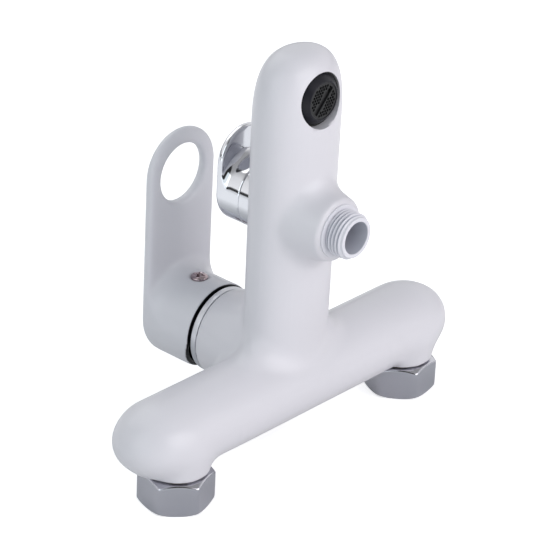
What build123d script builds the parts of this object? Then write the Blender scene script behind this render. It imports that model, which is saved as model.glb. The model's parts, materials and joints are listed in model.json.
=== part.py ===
from build123d import *
import os
from math import cos, radians, sin, sqrt, tan

# A single-lever bath and shower mixer, in millimetres.
# The origin lies on the wall plane, midway between the two inlets.
# +Z points away from the wall, +X along the inlet bar, +Y toward the lever.

# Clearances shared by the fits
seat_gap = 0.05
running_gap = 0.06
loose_gap = 0.3
ring_gap = 0.02

# Inlets
inlet_spacing = 150.0
nut_across_flats = 30.0
nut_height = 15.3
nut_wall_face_radius = 15.2
nut_body_face_radius = 14.6
nut_chamfer_angle = 30.0
nut_thread_minor_radius = 12.06
nut_thread_major_radius = 13.22
nut_thread_end = 7.2
nut_relief_radius = 12.9
nut_lip_depth = 2.8
left_nut_turn = 17.9
right_nut_turn = 7.4
tailpiece_radius = 10.3
tailpiece_bore_radius = 7.8
tailpiece_flange_thickness = 2.2
tailpiece_grip = 13.0
inlet_washer_thickness = 2.7
inlet_ring_section = 1.4
inlet_ring_depth = 5.0
nut_play = 0.7

# Inlet bar of the casting, an oval bar with domed ends
casting_wall = 3.6
bar_offset = 4.7
bar_height = 31.0
bar_half_width = 20.2
bar_half_depth = 17.0
knee_reach = 4.5
bar_straight_half = inlet_spacing / 2 + knee_reach
bar_end_bulge = 23.4
stub_mouth_radius = 14.4
stub_shoulder_radius = 17.0
stub_shoulder = 27.0
stub_cap = 14.0
spot_face_radius = 18.7
knee_channel_radius = 8.5
gallery_radius = 4.5
gallery_gap = 8.4

# Column of the casting, oval, ending in a dome
column_offset = 6.7
column_half_width = 22.5
column_half_depth = 16.0
column_taper = 0.00031
column_gauge = 110.0
column_shoulder = 154.7
column_dome = 35.0
column_dome_power = 2.92
column_dome_steps = 12
column_foot_fillet = 14.0
riser_radius = 6.0
valve_hole_radius = 5.0

# Cartridge housing of the casting
housing_rise = 8.1
housing_axis = bar_height + housing_rise
housing_end = 42.3
housing_end_radius = 20.3
housing_middle = 30.0
housing_middle_radius = 23.4
housing_root = 8.0
housing_root_flare = 1.2
housing_root_radius = housing_middle_radius + housing_root_flare
housing_fillet = 5.0

# Mixing cartridge, 35 mm size
cartridge_radius = 17.4
cartridge_floor = 13.4
base_thickness = 5.0
inlet_port_offset = 8.2
inlet_port_drop = 5.6
outlet_port_rise = 8.9
port_radius = 3.4
port_ring_section = 1.8
fixed_disc_radius = 13.6
fixed_disc_thickness = 3.4
moving_disc_radius = 10.6
moving_disc_thickness = 3.6
mixing_recess_radius = 5.4
mixing_recess_depth = 1.8
carrier_thickness = 3.4
casing_top_thickness = 2.0
rotor_radius = 11.4
rotor_height = 10.6
neck_wall = 1.7
neck_height = 8.4
pivot_above_carrier = 8.0
pin_radius = 1.5
pin_half_length = 9.6
stem_side = 8.0
stem_tongue = 3.0
stem_square_drop = 3.4
stem_ball_radius = 1.9
stem_end = 68.0
retaining_nut_radius = 18.6
retaining_nut_height = 8.0

# Chrome cover ring and black glide ring under the lever
cover_ring_height = 3.0
cover_dome_rise = 2.0
cover_hole_radius = 13.6
glide_ring_radius = 19.7
glide_ring_width = 3.0
glide_ring_height = 0.9

# Lever
lever_hub_radius = 21.1
lever_rim = 46.9
lever_face = 77.6
lever_plate_thickness = 6.1
lever_reach = 69.8
lever_top_centre = housing_axis + lever_reach
lever_hole_drop = 1.0
lever_hole_centre = lever_top_centre - lever_hole_drop
lever_hole_radius = 13.8
lever_flare = 10.5
lever_edge_round = 4.6
lever_inner_round = 2.2
lever_hole_round = 3.0
lever_hole_inner_round = 1.4
lever_wall = 2.8
lever_end_wall = 7.0
lever_socket_radius = 8.6
lever_socket_start = 52.5
lever_relief_start = 1.0
lever_relief_angle = 14.0
lever_lift_range = 12.0
lever_swing_spare = 4.0
screw_place = 60.0
screw_head_radius = 4.0
screw_head_height = 2.2
screw_shank_radius = 2.0
screw_recess_radius = 4.5
screw_recess_depth = 1.2
cross_width = 1.0
cross_length = 4.8
cross_depth = 1.1
cross_turn = 25.0
screw_crown_share = 0.6

# Shower outlet, G1/2 male
outlet_axis = 112.8
boss_root_radius = 19.4
boss_end_radius = 14.2
boss_end = 20.8
boss_fillet = 9.0
boss_edge_round = 1.8
outlet_flange_radius = 12.2
outlet_flange_thickness = 1.2
outlet_lead = 1.5
outlet_thread_radius = 10.478
outlet_thread_root = 9.316
outlet_thread_pitch = 1.814
outlet_thread_crest = 0.55
outlet_thread_turns = 4
outlet_flank_share = 0.85
outlet_bore_radius = 7.4
outlet_grip_radius = 9.0
outlet_grip = 11.0
outlet_ring_section = 1.2

# Diverter
diverter_axis = 115.0
diverter_pad_radius = 12.6
diverter_pad_rise = 1.2
bonnet_radius = 9.5
bonnet_flange_radius = 11.5
bonnet_flange_thickness = 1.8
bonnet_cup_wall = 0.8
bonnet_ring_section = 1.3
seat_seal_start = 1.0
seat_seal_thickness = 2.4
diverter_disc_radius = 8.5
diverter_disc_thickness = 3.0
spindle_radius = 4.0
spindle_foot_radius = 7.0
spindle_foot_thickness = 2.2
spindle_end = 34.0
spindle_flat_share = 0.8
spindle_ring_section = 1.2
clip_radius = 5.6
clip_thickness = 0.8
clip_groove_radius = 3.3
knob_hub_radius = 15.9
knob_rim_gap = 0.35
knob_face = 38.6
knob_plate_thickness = 4.0
knob_reach = 13.4
knob_top_centre = diverter_axis + knob_reach
knob_flare = 5.0
knob_edge_round = 2.6
knob_inner_round = 0.9
knob_wall = 2.4
knob_end_wall = 3.4
knob_socket_radius = 6.4
knob_screw_head_radius = 2.2

# Aerator, recessed in the column's face
aerator_axis = 169.5
aerator_radius = 12.3
aerator_front = 5.2
aerator_depth = 9.4
aerator_bevel = 0.5
aerator_nozzle_radius = 11.4
aerator_nozzle_tip_radius = 8.8
aerator_nozzle_proud = 2.9
aerator_mesh_radius = 8.2
aerator_mesh_thickness = 1.2
aerator_cell = 1.5
aerator_web = 0.3
aerator_slot_width = 2.6
aerator_slot_angle = 48.0
aerator_gasket_thickness = 1.6
aerator_seat_radius = 9.4
filter_hole_radius = 0.8
filter_hole_circle = 5.6
filter_hole_count = 10

# Places that several pieces share
half_spacing = inlet_spacing / 2
stub_mouth = nut_height + nut_play
nut_lip = nut_height - nut_lip_depth
flange_top = nut_lip - loose_gap
flange_bottom = flange_top - tailpiece_flange_thickness
tailpiece_end = stub_mouth + tailpiece_grip
base_top = cartridge_floor + base_thickness
fixed_disc_start = base_top + seat_gap
moving_disc_start = fixed_disc_start + fixed_disc_thickness + ring_gap
carrier_start = moving_disc_start + moving_disc_thickness + seat_gap
carrier_end = carrier_start + carrier_thickness
rotor_start = carrier_end + loose_gap
pivot = carrier_start + pivot_above_carrier
rotor_end = rotor_start + rotor_height
casing_shoulder = rotor_start + casing_top_thickness + loose_gap
neck_radius = rotor_radius + running_gap + neck_wall
neck_end = casing_shoulder + neck_height
retaining_nut_start = casing_shoulder + seat_gap
retaining_nut_end = retaining_nut_start + retaining_nut_height
bar_top = bar_height + bar_half_depth
column_face = column_offset - column_half_depth
column_back = column_offset + column_half_depth
pad_face = column_back + diverter_pad_rise
bonnet_seat = pad_face + seat_gap
cup_start = seat_seal_start + seat_seal_thickness + seat_gap
diverter_fixed_start = cup_start
diverter_moving_start = diverter_fixed_start + diverter_disc_thickness + ring_gap
spindle_foot_start = diverter_moving_start + diverter_disc_thickness + seat_gap
cup_end = spindle_foot_start + spindle_foot_thickness + seat_gap
bonnet_top = bonnet_seat + bonnet_flange_thickness
knob_rim = pad_face + knob_rim_gap
aerator_back = aerator_depth - aerator_front
mesh_front = -(aerator_front + aerator_nozzle_proud)


def turned_y(points, axis_z=0.0):
    """A solid turned about the line parallel to Y at height axis_z, from (radius, y) points."""
    face = Pos(0, 0, axis_z) * make_face(Polyline(*points, close=True))
    return revolve(face, axis=Axis((0, 0, axis_z), (0, 1, 0)))


def turned_z(points, x=0.0, y=0.0):
    """A solid turned about the line parallel to Z through (x, y), from (radius, z) points."""
    face = Pos(x, y, 0) * (Plane.XZ * make_face(Polyline(*points, close=True)))
    return revolve(face, axis=Axis((x, y, 0), (0, 0, 1)))


def rod(radius, start, end):
    """A round bar from the point start to the point end."""
    run = Vector(*end) - Vector(*start)
    return Solid.make_cylinder(radius, run.length, Plane(origin=start, z_dir=run))


def rod_y(radius, low, high, axis_z, x=0.0):
    """A round bar parallel to Y."""
    return rod(radius, (x, low, axis_z), (x, high, axis_z))


def rod_z(radius, low, high, x=0.0, y=0.0):
    """A round bar parallel to Z."""
    return rod(radius, (x, y, low), (x, y, high))


def ring_y(section, outer_radius, middle, axis_z):
    """A round-section ring about a line parallel to Y, as it lies in its groove."""
    plane = Plane(origin=(0, middle, axis_z), z_dir=(0, 1, 0))
    return Solid.make_torus(outer_radius - section / 2, section / 2, plane)


def ring_z(section, outer_radius, middle, x, y):
    """A round-section ring about a line parallel to Z, as it lies in its groove."""
    return Solid.make_torus(outer_radius - section / 2, section / 2, Plane((x, y, middle)))


def groove_y(section, outer_radius, middle, axis_z):
    """The room that a ring takes out of a shaft parallel to Y."""
    half = section / 2 + seat_gap
    inner = outer_radius - section - ring_gap
    return turned_y([(inner, middle - half), (outer_radius + 1, middle - half),
                     (outer_radius + 1, middle + half), (inner, middle + half)], axis_z)


def oval_bar(half_width, half_depth, x_low, x_high):
    """An oval bar along X in the casting's bar."""
    plane = Plane(origin=(x_low, bar_offset, bar_height), x_dir=(0, 1, 0), z_dir=(1, 0, 0))
    return extrude(plane * Ellipse(half_width, half_depth), x_high - x_low)


def oval_post(half_width, half_depth, z_low, z_high):
    """An oval post along Z in the casting's column."""
    plane = Plane(origin=(0, column_offset, z_low))
    return extrude(plane * Ellipse(half_width, half_depth), z_high - z_low)


def bar_skin():
    """The outside of the inlet bar: an oval bar with bulging ends."""
    outline = [
        Line((-bar_straight_half, bar_half_width), (bar_straight_half, bar_half_width)),
        EllipticalCenterArc((bar_straight_half, 0), bar_end_bulge, bar_half_width, 0, arc_size=90),
        EllipticalCenterArc((-bar_straight_half, 0), bar_end_bulge, bar_half_width, 90, arc_size=90),
        Line((-bar_straight_half - bar_end_bulge, 0), (bar_straight_half + bar_end_bulge, 0)),
    ]
    turned = revolve(make_face(outline), axis=Axis.X)
    return Pos(0, bar_offset, bar_height) * scale(turned, by=(1, 1, bar_half_depth / bar_half_width))


def column_reach(z):
    """The column's half width at a height: a slight taper that ends in a superelliptic dome."""
    reach = column_half_width * (1 + column_taper * (z - column_gauge))
    rise = max(z - column_shoulder, 0) / column_dome
    return reach * max(1 - rise ** column_dome_power, 0) ** (1 / column_dome_power)


def column_skin():
    """The outside of the column: an oval post with a domed top."""
    low = bar_height
    top = column_shoulder + column_dome
    heights = [column_shoulder + column_dome * sin(radians(90 * step / column_dome_steps))
               for step in range(column_dome_steps)]
    dome = [(column_reach(z), z) for z in heights] + [(0, top)]
    outline = [
        Line((0, low), (column_reach(low), low)),
        Line((column_reach(low), low), dome[0]),
        Spline(*dome, tangents=[(column_half_width * column_taper, 1), (-1, 0)]),
        Line((0, top), (0, low)),
    ]
    turned = revolve(Plane.XZ * make_face(outline), axis=Axis.Z)
    return Pos(0, column_offset, 0) * scale(turned, by=(1, column_half_depth / column_half_width, 1))


def edges_where(shape, wanted):
    """The edges of a shape whose bounding box passes the test."""
    return ShapeList([edge for edge in shape.edges() if wanted(edge.bounding_box())])


def housing_skin():
    """The outside of the cartridge housing, a bell that opens into the bar and the column."""
    outline = [
        Line((0, housing_end), (0, housing_root)),
        Line((0, housing_root), (housing_root_radius, housing_root)),
        ThreePointArc((housing_root_radius, housing_root), (housing_middle_radius, housing_middle),
                      (housing_end_radius, housing_end)),
        Line((housing_end_radius, housing_end), (0, housing_end)),
    ]
    face = Pos(0, 0, housing_axis) * make_face(outline)
    return revolve(face, axis=Axis((0, 0, housing_axis), (0, 1, 0)))


def boss_skin():
    """The outside of the shower outlet's boss, a cone with a rounded end."""
    points = [(0, 0), (boss_root_radius, 0), (boss_end_radius, -boss_end), (0, -boss_end)]
    cone = turned_y(points, outlet_axis)
    return fillet(edges_where(cone, lambda box: box.max.Y < ring_gap - boss_end), boss_edge_round)


def stub_skin(x):
    """The outside of a knee's short stub over its union nut, domed inside the bar."""
    outline = [
        Line((0, stub_mouth), (stub_mouth_radius, stub_mouth)),
        Line((stub_mouth_radius, stub_mouth), (stub_shoulder_radius, stub_shoulder)),
        EllipticalCenterArc((0, stub_shoulder), stub_shoulder_radius, stub_cap, 0, arc_size=90),
        Line((0, stub_shoulder + stub_cap), (0, stub_mouth)),
    ]
    return revolve(Pos(x, 0, 0) * (Plane.XZ * make_face(outline)), axis=Axis((x, 0, 0), (0, 0, 1)))


def casting_skin():
    """The closed outside of the one-piece casting, with its blends."""
    skin = bar_skin() + column_skin()
    foot = edges_where(skin, lambda box: box.max.Z < bar_top + 1 and box.size.X > 2 * column_half_width - 3
                       and box.size.X < 2 * column_half_width + 3)
    skin = fillet(foot, column_foot_fillet)
    skin += housing_skin()
    collar = edges_where(skin, lambda box: housing_root - 1 < box.min.Y and housing_root + 4 < box.max.Y
                         and box.max.Y < housing_end - 1 and box.min.X > -housing_root_radius - 1
                         and box.max.X < housing_root_radius + 1)
    skin = fillet(collar, housing_fillet)
    skin += boss_skin()
    root = edges_where(skin, lambda box: box.max.Y < 0 and box.min.Z > outlet_axis - boss_root_radius
                       and box.max.Z < outlet_axis + boss_root_radius and box.size.Y > 1
                       and box.size.Z > boss_root_radius)
    skin = fillet(root, boss_fillet)
    skin += rod_y(diverter_pad_radius, column_offset, pad_face, diverter_axis)
    for side in (-1, 1):
        skin += stub_skin(side * half_spacing)
        skin -= rod_z(spot_face_radius, 0, stub_mouth, side * half_spacing)
    return skin


def casting():
    """The one-piece casting: bar, knees, column, housing and boss, with its waterways."""
    body = casting_skin()
    for side in (-1, 1):
        x = side * half_spacing
        body -= rod_z(tailpiece_radius + seat_gap, 0, tailpiece_end + seat_gap, x)
        body -= rod_z(knee_channel_radius, stub_mouth, bar_height + knee_channel_radius / 2, x)
        cavity_outer = half_spacing - tailpiece_radius - casting_wall
        cavity_inner = cartridge_radius + 2 * casting_wall
        knee = (side * (cavity_outer - 1), bar_offset, bar_height)
        body -= rod(knee_channel_radius, (x, bar_offset, bar_height), knee)
        low, high = sorted((side * cavity_inner, side * cavity_outer))
        body -= oval_bar(bar_half_width - casting_wall, bar_half_depth - casting_wall, low, high)
        port_z = housing_axis - inlet_port_drop
        gallery = (side * gallery_gap / 2, bar_offset, port_z)
        body -= rod(gallery_radius, gallery, (side * (cavity_inner + 1), bar_offset, port_z))
        body -= rod_y(port_radius, bar_offset, cartridge_floor + 1, port_z, side * inlet_port_offset)
    body -= rod_y(cartridge_radius + seat_gap, cartridge_floor, housing_end + 1, housing_axis)
    body -= rod_y(retaining_nut_radius + seat_gap, casing_shoulder, housing_end + 1, housing_axis)
    outlet_port = housing_axis + outlet_port_rise
    body -= rod_y(port_radius, column_offset, cartridge_floor + 1, outlet_port)
    cavity_low = bar_top + 5 * casting_wall
    cavity_high = diverter_axis - bonnet_radius - 2 * casting_wall
    body -= rod_z(riser_radius, outlet_port - port_radius - 1, cavity_low + 1, 0, column_offset)
    inner_width = column_half_width - casting_wall
    inner_depth = column_half_depth - casting_wall
    body -= oval_post(inner_width, inner_depth, cavity_low, cavity_high)
    body -= rod_z(valve_hole_radius, cavity_high - 1, diverter_axis, 0, cup_start + diverter_disc_thickness)
    spout_low = diverter_axis + bonnet_radius + 2 * casting_wall
    spout_high = aerator_axis - aerator_radius - 2 * casting_wall
    body -= rod_z(valve_hole_radius, diverter_axis, spout_low + 1, 0, cup_start + diverter_disc_thickness)
    body -= oval_post(inner_width, inner_depth, spout_low, spout_high)
    body -= rod_y(bonnet_radius + seat_gap, seat_seal_start, pad_face + 1, diverter_axis)
    body -= rod_y(outlet_bore_radius - 1, -boss_end, seat_seal_start + 1, outlet_axis)
    grip_end = -boss_end + outlet_grip + seat_gap
    body -= rod_y(outlet_grip_radius + seat_gap, -boss_end - 1, grip_end, outlet_axis)
    gasket_seat = aerator_back + aerator_gasket_thickness + seat_gap
    body -= rod_y(aerator_radius + seat_gap, -2 * boss_end, gasket_seat, aerator_axis)
    feed = gasket_seat + riser_radius
    body -= rod_y(aerator_seat_radius, gasket_seat - 1, feed, aerator_axis)
    body -= rod_z(riser_radius, spout_high - 1, aerator_axis, 0, feed - riser_radius + 1)
    bevel_start = column_face - aerator_bevel
    body -= turned_y([(0, bevel_start), (aerator_radius + 4 * aerator_bevel, bevel_start),
                      (aerator_radius + seat_gap, column_face + 3 * aerator_bevel),
                      (0, column_face + 3 * aerator_bevel)], aerator_axis)
    return body


def union_nut(x, turn):
    """A captive hexagon nut: G3/4 thread at the wall end, a relief and a lip that holds the tailpiece."""
    hexagon = RegularPolygon(nut_across_flats / 2, 6, major_radius=False, rotation=turn)
    nut = Pos(x, 0, 0) * extrude(hexagon, nut_height)
    corner = nut_across_flats / sqrt(3)
    slope = tan(radians(nut_chamfer_angle))
    low_cut = (corner - nut_wall_face_radius + loose_gap) * slope
    high_cut = nut_height - (corner - nut_body_face_radius + loose_gap) * slope
    nut &= turned_z([(0, 0), (nut_wall_face_radius, 0), (corner + loose_gap, low_cut),
                     (corner + loose_gap, high_cut), (nut_body_face_radius, nut_height), (0, nut_height)], x)
    entry = nut_thread_major_radius - nut_thread_minor_radius
    nut -= turned_z([(0, -1), (nut_thread_major_radius + 1, -1), (nut_thread_minor_radius, entry),
                     (nut_thread_minor_radius, nut_thread_end), (nut_relief_radius, nut_thread_end),
                     (nut_relief_radius, nut_lip), (0, nut_lip)], x)
    nut -= rod_z(tailpiece_radius + loose_gap, nut_lip - 1, nut_height + 1, x)
    return nut


def tailpiece(x):
    """A brass tailpiece: flange held by the union nut, and a stem screwed into the casting."""
    flange_radius = nut_thread_minor_radius - loose_gap
    piece = turned_z([(tailpiece_bore_radius, flange_bottom), (flange_radius, flange_bottom),
                      (flange_radius, flange_top), (tailpiece_radius, flange_top),
                      (tailpiece_radius, tailpiece_end), (tailpiece_bore_radius, tailpiece_end)], x)
    middle = stub_mouth + inlet_ring_depth
    half = inlet_ring_section / 2 + seat_gap
    inner = tailpiece_radius - inlet_ring_section - ring_gap
    piece -= turned_z([(inner, middle - half), (tailpiece_radius + 1, middle - half),
                       (tailpiece_radius + 1, middle + half), (inner, middle + half)], x)
    return piece


def tailpiece_ring(x):
    """The sealing ring in the tailpiece's groove."""
    return ring_z(inlet_ring_section, tailpiece_radius, stub_mouth + inlet_ring_depth, x, 0)


def inlet_washer(x):
    """The flat washer that seals the tailpiece's flange on the wall fitting."""
    top = flange_bottom - ring_gap
    outer = nut_thread_minor_radius - loose_gap
    low = top - inlet_washer_thickness
    bore = tailpiece_bore_radius
    return turned_z([(bore, low), (outer, low), (outer, top), (bore, top)], x)


def port_places():
    """The three port centres of the mixing cartridge, as (x, z)."""
    return [(-inlet_port_offset, housing_axis - inlet_port_drop),
            (inlet_port_offset, housing_axis - inlet_port_drop),
            (0, housing_axis + outlet_port_rise)]


def cartridge_base():
    """The cartridge's base: three ports, each with a seat for its seal."""
    low = cartridge_floor + ring_gap
    base = rod_y(cartridge_radius, low, base_top, housing_axis)
    for x, z in port_places():
        base -= rod_y(port_radius, low - 1, base_top + 1, z, x)
        seat_end = low + port_ring_section + seat_gap
        base -= rod_y(port_radius + port_ring_section + seat_gap, low - 1, seat_end, z, x)
    return base


def port_seals():
    """The three rings under the cartridge's ports."""
    low = cartridge_floor + ring_gap
    rings = []
    for x, z in port_places():
        plane = Plane(origin=(x, low + port_ring_section / 2, z), z_dir=(0, 1, 0))
        rings.append(Solid.make_torus(port_radius + port_ring_section / 2, port_ring_section / 2, plane))
    return Compound(children=rings)


def fixed_disc():
    """The lower ceramic disc, keyed in the casing, with the three ports."""
    disc = rod_y(fixed_disc_radius, fixed_disc_start, fixed_disc_start + fixed_disc_thickness, housing_axis)
    for x, z in port_places():
        disc -= rod_y(port_radius - loose_gap, fixed_disc_start - 1, moving_disc_start + 1, z, x)
    return disc


def moving_disc():
    """The upper ceramic disc, with the recess that joins the ports."""
    end = moving_disc_start + moving_disc_thickness
    disc = rod_y(moving_disc_radius, moving_disc_start, end, housing_axis)
    recess = moving_disc_start + mixing_recess_depth
    return disc - rod_y(mixing_recess_radius, moving_disc_start - 1, recess, housing_axis)


def disc_carrier():
    """The carrier on the moving disc, with the socket for the lever stem's ball."""
    carrier = rod_y(moving_disc_radius, carrier_start, carrier_end, housing_axis)
    socket = stem_ball_radius + loose_gap
    return carrier - rod_y(socket, carrier_start - 1, carrier_end + 1, housing_axis)


def rotor():
    """The rotor that turns with the lever and carries its pivot pin."""
    body = rod_y(rotor_radius, rotor_start, rotor_end, housing_axis)
    swing = stem_side / 2 + loose_gap
    travel = (rotor_end - pivot) * tan(radians(lever_lift_range + lever_swing_spare)) + swing + loose_gap
    slot = Box(stem_side + 2 * loose_gap, rotor_height + 2, 2 * travel)
    body -= Pos(0, (rotor_start + rotor_end) / 2, housing_axis) * slot
    return body - pin_hole(seat_gap)


def pin_hole(gap):
    """The room of the pivot pin, with a clearance round it."""
    reach = pin_half_length + gap
    return rod(pin_radius + gap, (-reach, pivot, housing_axis), (reach, pivot, housing_axis))


def lever_pin():
    """The pin that the lever stem rocks on."""
    return pin_hole(0)


def lever_stem():
    """The square stem with a rounded foot that drives the disc carrier."""
    square_start = pivot - stem_square_drop
    square = Box(stem_side, stem_end - square_start, stem_side)
    stem = Pos(0, (stem_end + square_start) / 2, housing_axis) * square
    ball_centre = carrier_start + carrier_thickness / 2 + loose_gap
    stem += rod_y(stem_tongue / 2, ball_centre, pivot, housing_axis)
    stem += Pos(0, ball_centre, housing_axis) * Sphere(stem_ball_radius)
    stem -= pin_hole(running_gap)
    thread = rod_z(screw_shank_radius - loose_gap, housing_axis, housing_axis + stem_side, 0, screw_place)
    return stem - thread


def cartridge_casing():
    """The cartridge's casing: a cup over the discs with a neck for the rotor."""
    inner = fixed_disc_radius + seat_gap
    cup_top = casing_shoulder - casing_top_thickness
    neck_bore = rotor_radius + running_gap
    return turned_y([(inner, base_top + ring_gap), (cartridge_radius, base_top + ring_gap),
                     (cartridge_radius, casing_shoulder), (neck_radius, casing_shoulder),
                     (neck_radius, neck_end), (neck_bore, neck_end), (neck_bore, cup_top),
                     (inner, cup_top)], housing_axis)


def retaining_nut():
    """The brass ring nut that holds the cartridge in the housing."""
    inner = neck_radius + seat_gap
    nut = turned_y([(inner, retaining_nut_start), (retaining_nut_radius, retaining_nut_start),
                    (retaining_nut_radius, retaining_nut_end), (inner, retaining_nut_end)], housing_axis)
    notch = Box(3 * retaining_nut_radius, nut_play * 3, stem_tongue)
    for turn in (0, 60, 120):
        nut -= Pos(0, retaining_nut_end, housing_axis) * (Rot(0, turn, 0) * notch)
    return nut


def cover_ring():
    """The chrome ring that closes the housing, with a low dome under the lever."""
    low = housing_end + ring_gap
    high = low + cover_ring_height
    dome = high + cover_dome_rise
    inner = cover_hole_radius
    edge = glide_ring_radius - glide_ring_width
    skirt = retaining_nut_radius - seat_gap
    return turned_y([(inner, low), (inner, dome), (inner + 1, dome), (edge, high),
                     (housing_end_radius - loose_gap, high), (housing_end_radius, high - loose_gap),
                     (housing_end_radius, low), (skirt, low), (skirt, low - 1),
                     (skirt - 1, low - 1), (skirt - 1, low)], housing_axis)


def glide_ring():
    """The black ring between the cover ring and the lever's skirt."""
    low = housing_end + cover_ring_height + 2 * ring_gap
    high = low + glide_ring_height
    inner = glide_ring_radius - glide_ring_width + ring_gap
    return turned_y([(inner, low), (glide_ring_radius, low), (glide_ring_radius, high), (inner, high)],
                    housing_axis)


def tombstone(radius, low_z, high_z, y_low, y_high):
    """A plate with round ends, from the circle at low_z to the circle at high_z."""
    middle = Box(2 * radius, y_high - y_low, high_z - low_z)
    plate = Pos(0, (y_low + y_high) / 2, (low_z + high_z) / 2) * middle
    return plate + rod_y(radius, y_low, y_high, low_z) + rod_y(radius, y_low, y_high, high_z)


def flare(radius, size, axis_z, plate_face):
    """The hollow blend from a hub up to its plate, turned about the hub's axis."""
    outline = [
        Line((0, plate_face - size), (radius, plate_face - size)),
        CenterArc((radius + size, plate_face - size), size, 180, -90),
        Line((radius + size, plate_face), (0, plate_face)),
        Line((0, plate_face), (0, plate_face - size)),
    ]
    face = Pos(0, 0, axis_z) * make_face(outline)
    return revolve(face, axis=Axis((0, 0, axis_z), (0, 1, 0)))


def hub_and_plate(radius, axis_z, top_z, rim, face, thickness, flare_size, outer_round, inner_round):
    """A round hub that grows into a flat upright plate."""
    plate_face = face - thickness
    solid = tombstone(radius, axis_z, top_z, plate_face, face)
    outer = edges_where(solid, lambda box: box.min.Y > face - thickness / 2)
    solid = fillet(outer, outer_round)
    inner = edges_where(solid, lambda box: box.max.Y < plate_face + ring_gap)
    solid = fillet(inner, inner_round)
    solid += rod_y(radius, rim, face - outer_round, axis_z)
    blend = flare(radius, flare_size, axis_z, plate_face + inner_round + ring_gap)
    window = tombstone(radius, axis_z, top_z, plate_face - flare_size, plate_face + inner_round + ring_gap)
    return solid + (blend & window)


def lever():
    """The lever: hub, skirt with its rear relief, upright plate with the finger hole."""
    solid = hub_and_plate(lever_hub_radius, housing_axis, lever_top_centre, lever_rim, lever_face,
                          lever_plate_thickness, lever_flare, lever_edge_round, lever_inner_round)
    hollow = lever_hub_radius - lever_wall
    cavity = rod_y(hollow, lever_rim - 1, lever_face - lever_end_wall, housing_axis)
    socket = rod_y(lever_socket_radius, lever_socket_start, lever_face - lever_end_wall + 1, housing_axis)
    bridge_top = housing_axis + lever_hub_radius - lever_wall / 2
    bridge = rod_z(screw_recess_radius + 1, housing_axis, bridge_top, 0, screw_place)
    solid -= cavity - socket - bridge
    square = Box(stem_side + 2 * seat_gap, stem_end - lever_rim + 1, stem_side + 2 * seat_gap)
    solid -= Pos(0, (stem_end + seat_gap + lever_rim - 1) / 2, housing_axis) * square
    hub_top = housing_axis + lever_hub_radius
    solid -= rod_z(screw_recess_radius, hub_top - screw_recess_depth, hub_top + lever_flare, 0, screw_place)
    solid -= rod_z(screw_shank_radius + seat_gap, housing_axis, hub_top, 0, screw_place)
    window = lever_face - lever_plate_thickness
    hole = rod_y(lever_hole_radius, window - 1, lever_face + 1, lever_hole_centre)
    solid -= hole
    solid = fillet(hole_rim(solid, lever_face), lever_hole_round)
    solid = fillet(hole_rim(solid, window), lever_hole_inner_round)
    return solid - rear_relief()


def hole_rim(solid, y):
    """The rim of the finger hole on the plate's face at y."""
    reach = lever_hole_radius + 1
    return edges_where(solid, lambda box: abs(box.min.Y - y) < ring_gap and abs(box.max.Y - y) < ring_gap
                       and box.min.Z > lever_hole_centre - reach and box.max.Z < lever_hole_centre + reach
                       and lever_hole_radius < box.size.X < 2 * reach)


def rear_relief():
    """The wedge cut off the skirt's wall side, so that it clears the ring when the lever lifts."""
    start = housing_axis - lever_relief_start
    depth = 2 * lever_hub_radius
    drop = depth * tan(radians(lever_relief_angle))
    outline = Polyline((lever_rim - 1, start), (lever_rim, start), (lever_rim + drop, start - depth),
                       (lever_rim - 1, start - depth), close=True)
    plane = Plane(origin=(-depth, 0, 0), x_dir=(0, 1, 0), z_dir=(1, 0, 0))
    return extrude(plane * make_face(outline), 2 * depth)


def cross_screw(y, seat_z, tip_z, head_radius, head_height, shank_radius):
    """An oval-head screw with a cross recess, driven down along Z."""
    crown = seat_z + head_height
    head = turned_z([(0, seat_z), (head_radius, seat_z), (head_radius, seat_z + head_height / 2),
                     (head_radius * screw_crown_share, crown), (0, crown)], 0, y)
    screw = head + rod_z(shank_radius, tip_z, seat_z, 0, y)
    arm = Box(cross_length * head_radius / screw_head_radius, cross_width, 2 * cross_depth)
    cross = arm + Rot(0, 0, 90) * arm
    return screw - Pos(0, y, crown) * (Rot(0, 0, cross_turn) * cross)


def lever_screw():
    """The screw in the lever's recess that clamps it on the stem."""
    seat = housing_axis + lever_hub_radius - screw_recess_depth + ring_gap
    tip = housing_axis + stem_side / 2 + ring_gap
    return cross_screw(screw_place, seat, tip, screw_head_radius, screw_head_height, screw_shank_radius)


def shower_nipple():
    """The shower outlet: flange, G1/2 thread and a stem screwed into the boss."""
    grip_end = -boss_end + outlet_grip
    flange_low = -boss_end - outlet_flange_thickness - ring_gap
    flange_high = -boss_end - ring_gap
    root, crest = outlet_thread_root, outlet_thread_radius
    flank = (outlet_thread_pitch - outlet_thread_crest) / 2 * outlet_flank_share
    points = [(outlet_bore_radius, grip_end), (outlet_grip_radius, grip_end),
              (outlet_grip_radius, flange_high), (outlet_flange_radius - loose_gap, flange_high),
              (outlet_flange_radius, flange_high - loose_gap),
              (outlet_flange_radius, flange_low + loose_gap),
              (outlet_flange_radius - loose_gap, flange_low)]
    for turn in range(outlet_thread_turns):
        start = flange_low - outlet_thread_pitch * turn
        points.append((root, start))
        points.append((root, start - outlet_thread_pitch + outlet_thread_crest + 2 * flank))
        points.append((crest, start - outlet_thread_pitch + outlet_thread_crest + flank))
        points.append((crest, start - outlet_thread_pitch + flank))
    end = flange_low - outlet_thread_pitch * outlet_thread_turns
    points.append((root, end))
    points.append((root, end - outlet_lead))
    points.append((outlet_bore_radius, end - outlet_lead))
    nipple = turned_y(points, outlet_axis)
    middle = grip_end - outlet_grip / 3
    return nipple - groove_y(outlet_ring_section, outlet_grip_radius, middle, outlet_axis)


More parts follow.
